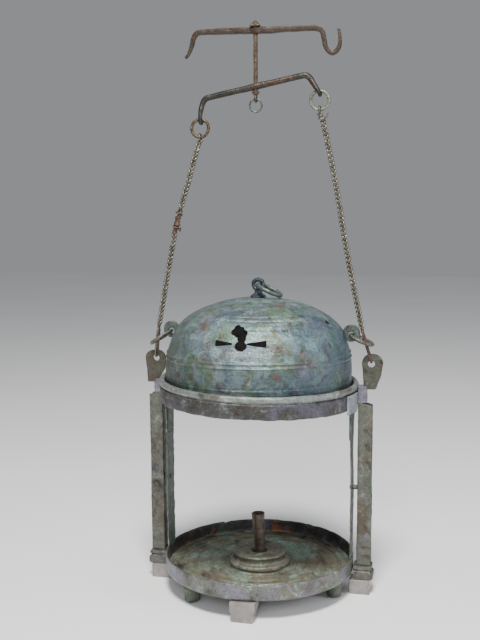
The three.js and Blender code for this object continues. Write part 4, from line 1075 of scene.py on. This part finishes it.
def make_uprights():
    s = sizes()
    for side, sign in (("left", -1), ("right", 1)):
        low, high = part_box(f"post_{side}")
        inner = (high.x if sign < 0 else low.x) / MM
        outer = (low.x if sign < 0 else high.x) / MM
        half, wall = 6.0, 1.8
        outline = [(inner, -half), (outer, -half), (outer, -half + wall), (inner + sign * wall, -half + wall),
                   (inner + sign * wall, half - wall), (outer, half - wall), (outer, half), (inner, half)]
        top = high.z / MM + (4.5 if sign < 0 else 1)
        obj = slab(f"upright_{side}", outline, low.z / MM, top, "Z", 26)
        for vertex in obj.data.vertices:
            p = vertex.co / MM
            out = (p.x - inner) * sign
            if p.z > top - 2 and out > 8:
                vertex.co.z -= (out - 8) * 0.6 * MM
        modify(obj, "BEVEL", width=0.45 * MM, segments=2, limit_method="ANGLE", angle_limit=math.radians(50))
        modify(obj, "SUBSURF", subdivision_type="SIMPLE", levels=2, render_levels=2)
        nudge(obj, s.wear * 1.2, 38, 35 + sign, None, (1, 1, 0))
        nudge(obj, s.wear * 0.5, 5, 36 + sign)
        finish_piece(smooth(obj), "lantern", f"post_{side}", FINISHES["post"], "post_green")
        foot = reworked(f"post_foot_{side}", f"upright_collar_{side}", 0.6, 0.35, 6, 41)
        finish_piece(smooth(foot), "lantern", f"post_foot_{side}", FINISHES["post"], "post_green")
        lug = reworked(f"ring_lug_{side}", f"ring_side_lug_{side}", 0.5, 0.35, 5, 43)
        finish_piece(smooth(lug), "lantern", f"ring_lug_{side}", FINISHES["lilac"], "lilac_grey")
        plate = reworked(f"post_tongue_{side}", f"hook_tongue_{side}", 0.45, 0.4, 8, 45, 2)
        finish_piece(smooth(plate), "lantern", f"post_tongue_{side}", FINISHES["tongue"], "tongue_olive")
        make_strip(side, sign)


def make_strip(side, sign):
    """Thin inner strip with ragged edges, thicker at its top where a tab folds over."""
    s = sizes()
    low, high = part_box(f"inner_strip_{side}")
    x0, x1, z0, z1 = low.x / MM, high.x / MM, low.z / MM, high.z / MM
    outline = [(-11 + 22 * i / 10, z0) for i in range(11)] + [(11 - 22 * i / 10, z1) for i in range(11)]
    obj = slab("strip", [(y, z) for y, z in outline], x0, x1, "X")
    only(obj)
    bpy.ops.object.mode_set(mode="EDIT")
    for i in range(60):
        bpy.ops.mesh.select_all(action="SELECT")
        bpy.ops.mesh.bisect(plane_co=(0, 0, (z0 + (z1 - z0) * (i + 1) / 61) * MM), plane_no=(0, 0, 1))
    bpy.ops.object.mode_set(mode="OBJECT")
    nudge(obj, s.chip * 1.5, 6, 47 + sign, lambda p: abs(p.y) > 10.9, (0, 1, 0))
    nudge(obj, s.chip, 4, 49 + sign, lambda p: abs(p.y) > 8 and p.z < z0 + 1, (0, 0, 1))
    rivet_z = middle(f"strip_rivet_{side}").z / MM
    cut(obj, [drill(1.7, (x0 - 5, 0, rivet_z), (x1 + 5, 0, rivet_z))])
    nudge(obj, s.wear * 1.6, 45, 51 + sign, None, (1, 0, 0))
    tab = slab("tab", [(-9, z1 - 30), (-4, z1 - 33), (3, z1 - 31), (8.5, z1 - 34), (9.5, z1 - 4), (-9.5, z1 - 3)],
               *(sorted((x0 - sign * 0.2, x0 - sign * 1.4)) if sign > 0 else (x1 - 0.1, x1 + 1.0)), "X", 0)
    obj = joined(f"window_strip_{side}", [obj, tab])
    finish_piece(smooth(obj), "lantern", f"inner_strip_{side}", FINISHES["strip"], "strip_green")
    rivet = reworked(f"strip_rivet_{side}", f"window_strip_rivet_{side}", 0.35, 0.2, 4, 53)
    finish_piece(smooth(rivet), "lantern", f"strip_rivet_{side}", FINISHES["strip"], "strip_green")


# ---------------------------------------------------------------- pan and its supports
def make_pan():
    s = sizes()
    floor, rim, base, r = PAN_FLOOR, PAN_RIM, PAN_BASE, PAN_R
    bed = []
    for i in range(110):
        radius = (r - 4.2) * (1 - i / 109)
        height = 0.0
        for ring, tall, wide in ((62, 2.0, 1.5), (66.5, -0.9, 0.9), (78, 1.2, 1.2), (83, -0.8, 0.9), (51, 1.3, 1.2),
                                 (47, -0.8, 0.9), (41, 0.9, 1.2), (36, 1.4, 1.2), (33.2, -0.4, 0.7), (71, 0.7, 0.9)):
            height += tall * math.exp(-((radius - ring) / wide) ** 2)
        bed.append((max(radius, 0), floor + height))
    wall = [(0, base), (r - 6, base), (r - 2, base + 0.4), (r - 0.5, base + 1.6), (r, base + 4), (r - 0.3, base + 7),
            (r, base + 10), (r, rim - 1), (r - 0.5, rim - 0.2), (r - 1.2, rim), (r - 2, rim - 0.3),
            (r - 2.4, rim - 1.2), (r - 2.6, floor + 2), (r - 3.2, floor + 0.7)]
    obj = turned("charcoal_pan", fine(wall[1:], 2.0)[0:0] + [wall[0]] + fine(wall[1:], 1.8) + bed, 192, False)
    chip = s.chip

    def worn_rim(vertex):
        p = vertex.co / MM
        if p.z < rim - 4 or p.xy.length < r - 4:
            return
        around = math.atan2(p.y, p.x)
        ragged = noise.noise(Vector((math.cos(around) * 7, math.sin(around) * 7, 3)))
        notch = max(0.0, noise.noise(Vector((math.cos(around) * 13, math.sin(around) * 13, 8))) - 0.28)
        depth = max(0.0, ragged) * 0.8 + notch * 5
        vertex.co.z -= depth * chip * 0.6 * MM * (p.z - rim + 4) / 4

    for vertex in obj.data.vertices:
        worn_rim(vertex)
    nudge(obj, s.wear * 0.7, 24, 55, lambda p: p.z > PAN_BASE + 1, (1, 1, 0.7))
    nudge(obj, s.wear * 0.4, 6, 56, lambda p: p.z > PAN_BASE + 1, (0.6, 0.6, 0.8))
    obj.data.materials.clear()
    for _ in range(3):
        obj.data.materials.append(None)
    paint_faces(obj, 1, lambda p, n: n.z > 0.4 and p.z < floor + 3 and p.xy.length < r - 3)
    # inward faces of the pan's wall get the dark finish: painted shade with its patina patches
    paint_faces(obj, 2, lambda p, n: n.x * p.x + n.y * p.y < -20 and p.z > floor + 0.4 and p.xy.length > r - 6)
    finish_piece(smooth(obj, 50), "lantern", "pan", FINISHES["pan"], "pan_patina", FINISHES["pan_floor"],
                 FINISHES["pan_wall_and_shade"])


def make_boss():
    s = sizes()
    z, top = PAN_FLOOR + 0.3, BOSS_TOP
    profile = [(0, z), (29.8, z), (30.9, z + 0.8), (31, z + 2.6), (30.2, z + 4.2), (28.4, z + 4.9), (26.8, z + 5.2),
               (25.9, z + 6), (25.7, z + 8.2), (26.2, z + 9.8), (27.1, top - 2.2), (27.3, top - 1.2), (26.8, top - 0.3),
               (25.4, top), (24, top - 0.4), (22.4, top - 1.4), (19.6, top - 1.8), (18.2, top - 1.3),
               (16, top - 1.8), (12.4, top - 1.5), (10.6, top - 0.5), (9.4, top - 0.4), (8, top - 1.4),
               (7.6, top - 2.6), (7.6, top - 5.2),
               (0, top - 5.4)]
    obj = turned("stepped_boss", fine(profile, 1.2), 96, False)
    nudge(obj, s.wear * 0.9, 12, 57, lambda p: p.z > z + 1)
    nudge(obj, s.wear * 0.6, 4, 58, lambda p: p.z > z + 1 and p.xy.length > 9)
    finish_piece(smooth(obj, 50), "lantern", "boss", FINISHES["boss"], "pan_patina")


def make_tube():
    """Tube rolled from sheet, its edge lapped over as a seam, leaning a little."""
    outer, inner = [], []
    steps = 44
    for i in range(steps + 1):
        share = i / steps
        a = math.radians(-150 + 395 * share)
        r = 5.3 - 1.15 * max(0, 1 - share * 3) + 0.1 * share
        outer.append((r * math.cos(a), r * math.sin(a)))
        inner.append(((r - 0.95) * math.cos(a), (r - 0.95) * math.sin(a)))
    obj = slab("rolled_tube", outer + inner[::-1], TUBE_BASE, TUBE_TOP, "Z", 14)
    tall = TUBE_TOP - TUBE_BASE
    for vertex in obj.data.vertices:
        share = (vertex.co.z / MM - TUBE_BASE) / tall
        wide = 0.96 + 0.26 * share ** 1.5
        vertex.co.x = vertex.co.x * wide + (0.9 - 2.2 * share) * MM
        vertex.co.y *= wide
    nudge(obj, 1.8, 6, 61, lambda p: p.z > TUBE_TOP - 0.5, (0, 0, 1))
    for vertex in obj.data.vertices:
        vertex.co.z = min(vertex.co.z, (TUBE_TOP + 0.6) * MM)
    nudge(obj, 0.35, 7, 62, None, (1, 1, 0))
    finish_piece(smooth(obj), "lantern", "wick_tube", FINISHES["tube"], "tube_brown")


def make_feet():
    for spot in ("front", "right", "back"):
        obj = reworked(f"pan_foot_{spot}", f"pan_knob_foot_{spot}", 0.8, 1.0, 9, 63)
        finish_piece(smooth(obj), "lantern", f"pan_foot_{spot}", FINISHES["foot"], "post_green")
    for spot in ("front", "left", "right"):
        obj = reworked(f"support_pad_{spot}", f"clear_pad_{spot}", 0.7, 0.15, 12, 65, 2)
        finish_piece(smooth(obj, 60), "lantern", f"support_pad_{spot}", FINISHES["pads"], "pad_clear")


# ---------------------------------------------------------------- stage
def soft_light(name, place, target, power, size, colour=(1, 1, 1)):
    light = bpy.data.lights.new(name, "AREA")
    light.energy, light.shape, light.size, light.color = power, "DISK", size, colour
    obj = bpy.data.objects.new(name, light)
    bpy.context.scene.collection.objects.link(obj)
    obj.location = place
    obj.rotation_euler = (Vector(target) - Vector(place)).to_track_quat("-Z", "Y").to_euler()
    return obj


def make_stage():
    studio = bpy.context.scene.lantern_studio
    deselect()
    bpy.ops.mesh.primitive_plane_add(size=9)
    floor = bpy.context.active_object
    floor.name = "Studio_floor"
    floor.location.z = CAD_BOX[0].z - 0.0004
    paint = bpy.data.materials.new("Pale_floor")
    paint.use_nodes = True
    tree = paint.node_tree
    shader = tree.nodes["Principled BSDF"]
    shader.inputs["Roughness"].default_value = 0.75
    coord = node(tree, "ShaderNodeTexCoord").outputs["Object"]
    clouds = noise_node(tree, coord, 2.5, 3, 0.5).outputs["Fac"]
    tree.links.new(
        mixed(tree, level(tree, clouds, 0.3, 0.7), (0.93, 0.93, 0.93), (0.96, 0.96, 0.96)),
        shader.inputs["Base Color"])
    floor.data.materials.append(paint)
    world = bpy.data.worlds.new("Soft_studio")
    bpy.context.scene.world = world
    world.use_nodes = True
    world.node_tree.nodes["Background"].inputs["Color"].default_value = (0.82, 0.84, 0.88, 1)
    world.node_tree.nodes["Background"].inputs["Strength"].default_value = 0.34
    centre = (0, 0, 0.22)
    soft_light("Key_light", (0.12, -0.75, 1.6), centre, studio.key_power, 0.45, (1, 0.99, 0.97))
    soft_light("Fill_light", (1.45, -0.35, 0.75), centre, studio.fill_power, 0.7, (0.93, 0.96, 1))
    soft_light("Front_light", (0.1, -1.7, 0.9), centre, studio.front_power, 0.8)
    lens = bpy.data.cameras.new("Lantern_camera")
    lens.sensor_fit = "VERTICAL"
    lens.sensor_height = 24
    lens.lens = 35.475
    camera = bpy.data.objects.new("Lantern_camera", lens)
    bpy.context.scene.collection.objects.link(camera)
    turn = Matrix.Rotation(studio.camera_turn, 4, "Z") @ Matrix.Rotation(
        math.pi / 2 - studio.camera_tip, 4, "X") @ Matrix.Rotation(math.radians(-0.37), 4, "Z")
    camera.matrix_world = Matrix.Translation((0.197, -0.908, 0.378)) @ turn
    bpy.context.scene.camera = camera


# ---------------------------------------------------------------- operators and panel
class LANTERN_OT_finishes(Operator):
    """Make every finish"""

    bl_idname = "lantern.finishes"
    bl_label = "Finishes"
    bl_options = {"REGISTER", "UNDO"}

    def execute(self, context):
        FINISHES.update(make_finishes(context.scene.lantern_colours))
        return {"FINISHED"}


class LANTERN_OT_handle(Operator):
    """Make the hooked handle bar"""

    bl_idname = "lantern.handle"
    bl_label = "Handle bar"
    bl_options = {"REGISTER", "UNDO"}

    def execute(self, context):
        make_handle()
        return {"FINISHED"}


class LANTERN_OT_rod(Operator):
    """Make the lift rod and its end ring"""

    bl_idname = "lantern.rod"
    bl_label = "Lift rod"
    bl_options = {"REGISTER", "UNDO"}

    def execute(self, context):
        make_rod()
        make_rod_ring()
        return {"FINISHED"}


class LANTERN_OT_carrying_bar(Operator):
    """Make the carrying bar"""

    bl_idname = "lantern.carrying_bar"
    bl_label = "Carrying bar"
    bl_options = {"REGISTER", "UNDO"}

    def execute(self, context):
        make_carrying_bar()
        return {"FINISHED"}


class LANTERN_OT_top_rings(Operator):
    """Make the rings that the chains hang from"""

    bl_idname = "lantern.top_rings"
    bl_label = "Top rings"
    bl_options = {"REGISTER", "UNDO"}

    def execute(self, context):
        make_top_rings()
        return {"FINISHED"}


class LANTERN_OT_chains(Operator):
    """Make the plaited chains"""

    bl_idname = "lantern.chains"
    bl_label = "Chains"
    bl_options = {"REGISTER", "UNDO"}

    def execute(self, context):
        make_chains()
        return {"FINISHED"}


class LANTERN_OT_repair(Operator):
    """Make the mended knot in the left chain"""

    bl_idname = "lantern.repair"
    bl_label = "Chain repair"
    bl_options = {"REGISTER", "UNDO"}

    def execute(self, context):
        make_repair()
        return {"FINISHED"}


class LANTERN_OT_hooks(Operator):
    """Make the links at the foot of the chains"""

    bl_idname = "lantern.hooks"
    bl_label = "Hook links"
    bl_options = {"REGISTER", "UNDO"}

    def execute(self, context):
        make_hooks()
        return {"FINISHED"}


class LANTERN_OT_lid(Operator):
    """Make the pierced dome"""

    bl_idname = "lantern.lid"
    bl_label = "Lid"
    bl_options = {"REGISTER", "UNDO"}

    def execute(self, context):
        make_lid()
        return {"FINISHED"}


class LANTERN_OT_lid_eye(Operator):
    """Make the eye on the crown and its ring"""

    bl_idname = "lantern.lid_eye"
    bl_label = "Lid eye and ring"
    bl_options = {"REGISTER", "UNDO"}

    def execute(self, context):
        make_lid_eye()
        make_lid_ring()
        return {"FINISHED"}


class LANTERN_OT_ears(Operator):
    """Make the lid's ears and guide rings"""

    bl_idname = "lantern.ears"
    bl_label = "Ears and guide rings"
    bl_options = {"REGISTER", "UNDO"}

    def execute(self, context):
        make_ears()
        make_guide_rings()
        return {"FINISHED"}


class LANTERN_OT_frame_ring(Operator):
    """Make the ring under the lid and its repair"""

    bl_idname = "lantern.frame_ring"
    bl_label = "Frame ring"
    bl_options = {"REGISTER", "UNDO"}

    def execute(self, context):
        make_frame_ring()
        return {"FINISHED"}


class LANTERN_OT_uprights(Operator):
    """Make the uprights, their collars, tongues and strips"""

    bl_idname = "lantern.uprights"
    bl_label = "Uprights"
    bl_options = {"REGISTER", "UNDO"}

    def execute(self, context):
        make_uprights()
        return {"FINISHED"}


class LANTERN_OT_pan(Operator):
    """Make the pan"""

    bl_idname = "lantern.pan"
    bl_label = "Pan"
    bl_options = {"REGISTER", "UNDO"}

    def execute(self, context):
        make_pan()
        return {"FINISHED"}


class LANTERN_OT_boss(Operator):
    """Make the boss and its rolled tube"""

    bl_idname = "lantern.boss"
    bl_label = "Boss and tube"
    bl_options = {"REGISTER", "UNDO"}

    def execute(self, context):
        make_boss()
        make_tube()
        return {"FINISHED"}


class LANTERN_OT_feet(Operator):
    """Make the feet and the clear pads"""

    bl_idname = "lantern.feet"
    bl_label = "Feet and pads"
    bl_options = {"REGISTER", "UNDO"}

    def execute(self, context):
        make_feet()
        return {"FINISHED"}


class LANTERN_OT_stage(Operator):
    """Make the floor, lights and camera"""

    bl_idname = "lantern.stage"
    bl_label = "Studio"
    bl_options = {"REGISTER", "UNDO"}

    def execute(self, context):
        make_stage()
        return {"FINISHED"}


OPERATORS = [
    LANTERN_OT_finishes,
    LANTERN_OT_handle,
    LANTERN_OT_rod,
    LANTERN_OT_carrying_bar,
    LANTERN_OT_top_rings,
    LANTERN_OT_chains,
    LANTERN_OT_repair,
    LANTERN_OT_hooks,
    LANTERN_OT_lid,
    LANTERN_OT_lid_eye,
    LANTERN_OT_ears,
    LANTERN_OT_frame_ring,
    LANTERN_OT_uprights,
    LANTERN_OT_pan,
    LANTERN_OT_boss,
    LANTERN_OT_feet,
    LANTERN_OT_stage,
]


class LANTERN_PT_panel(Panel):
    """Lists the lantern's pieces."""

    bl_label = "Hanging lantern censer"
    bl_idname = "LANTERN_PT_panel"
    bl_space_type = "VIEW_3D"
    bl_region_type = "UI"
    bl_category = "Lantern"

    def draw(self, context):
        scene = context.scene
        for group in (scene.lantern_sizes, scene.lantern_colours, scene.lantern_studio):
            box = self.layout.box()
            for key in group.__annotations__:
                box.prop(group, key)
        for entry in OPERATORS:
            self.layout.operator(entry.bl_idname)


CLASSES = [LanternSizes, LanternColours, StudioSettings, *OPERATORS, LANTERN_PT_panel]


def register():
    for entry in CLASSES:
        bpy.utils.register_class(entry)
    bpy.types.Scene.lantern_sizes = PointerProperty(type=LanternSizes)
    bpy.types.Scene.lantern_colours = PointerProperty(type=LanternColours)
    bpy.types.Scene.lantern_studio = PointerProperty(type=StudioSettings)


def unregister():
    del bpy.types.Scene.lantern_sizes
    del bpy.types.Scene.lantern_colours
    del bpy.types.Scene.lantern_studio
    for entry in reversed(CLASSES):
        bpy.utils.unregister_class(entry)


def main():
    register()
    for entry in OPERATORS:
        getattr(bpy.ops.lantern, entry.bl_idname.split(".")[1])()
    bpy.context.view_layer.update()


if __name__ == "__main__":
    main()
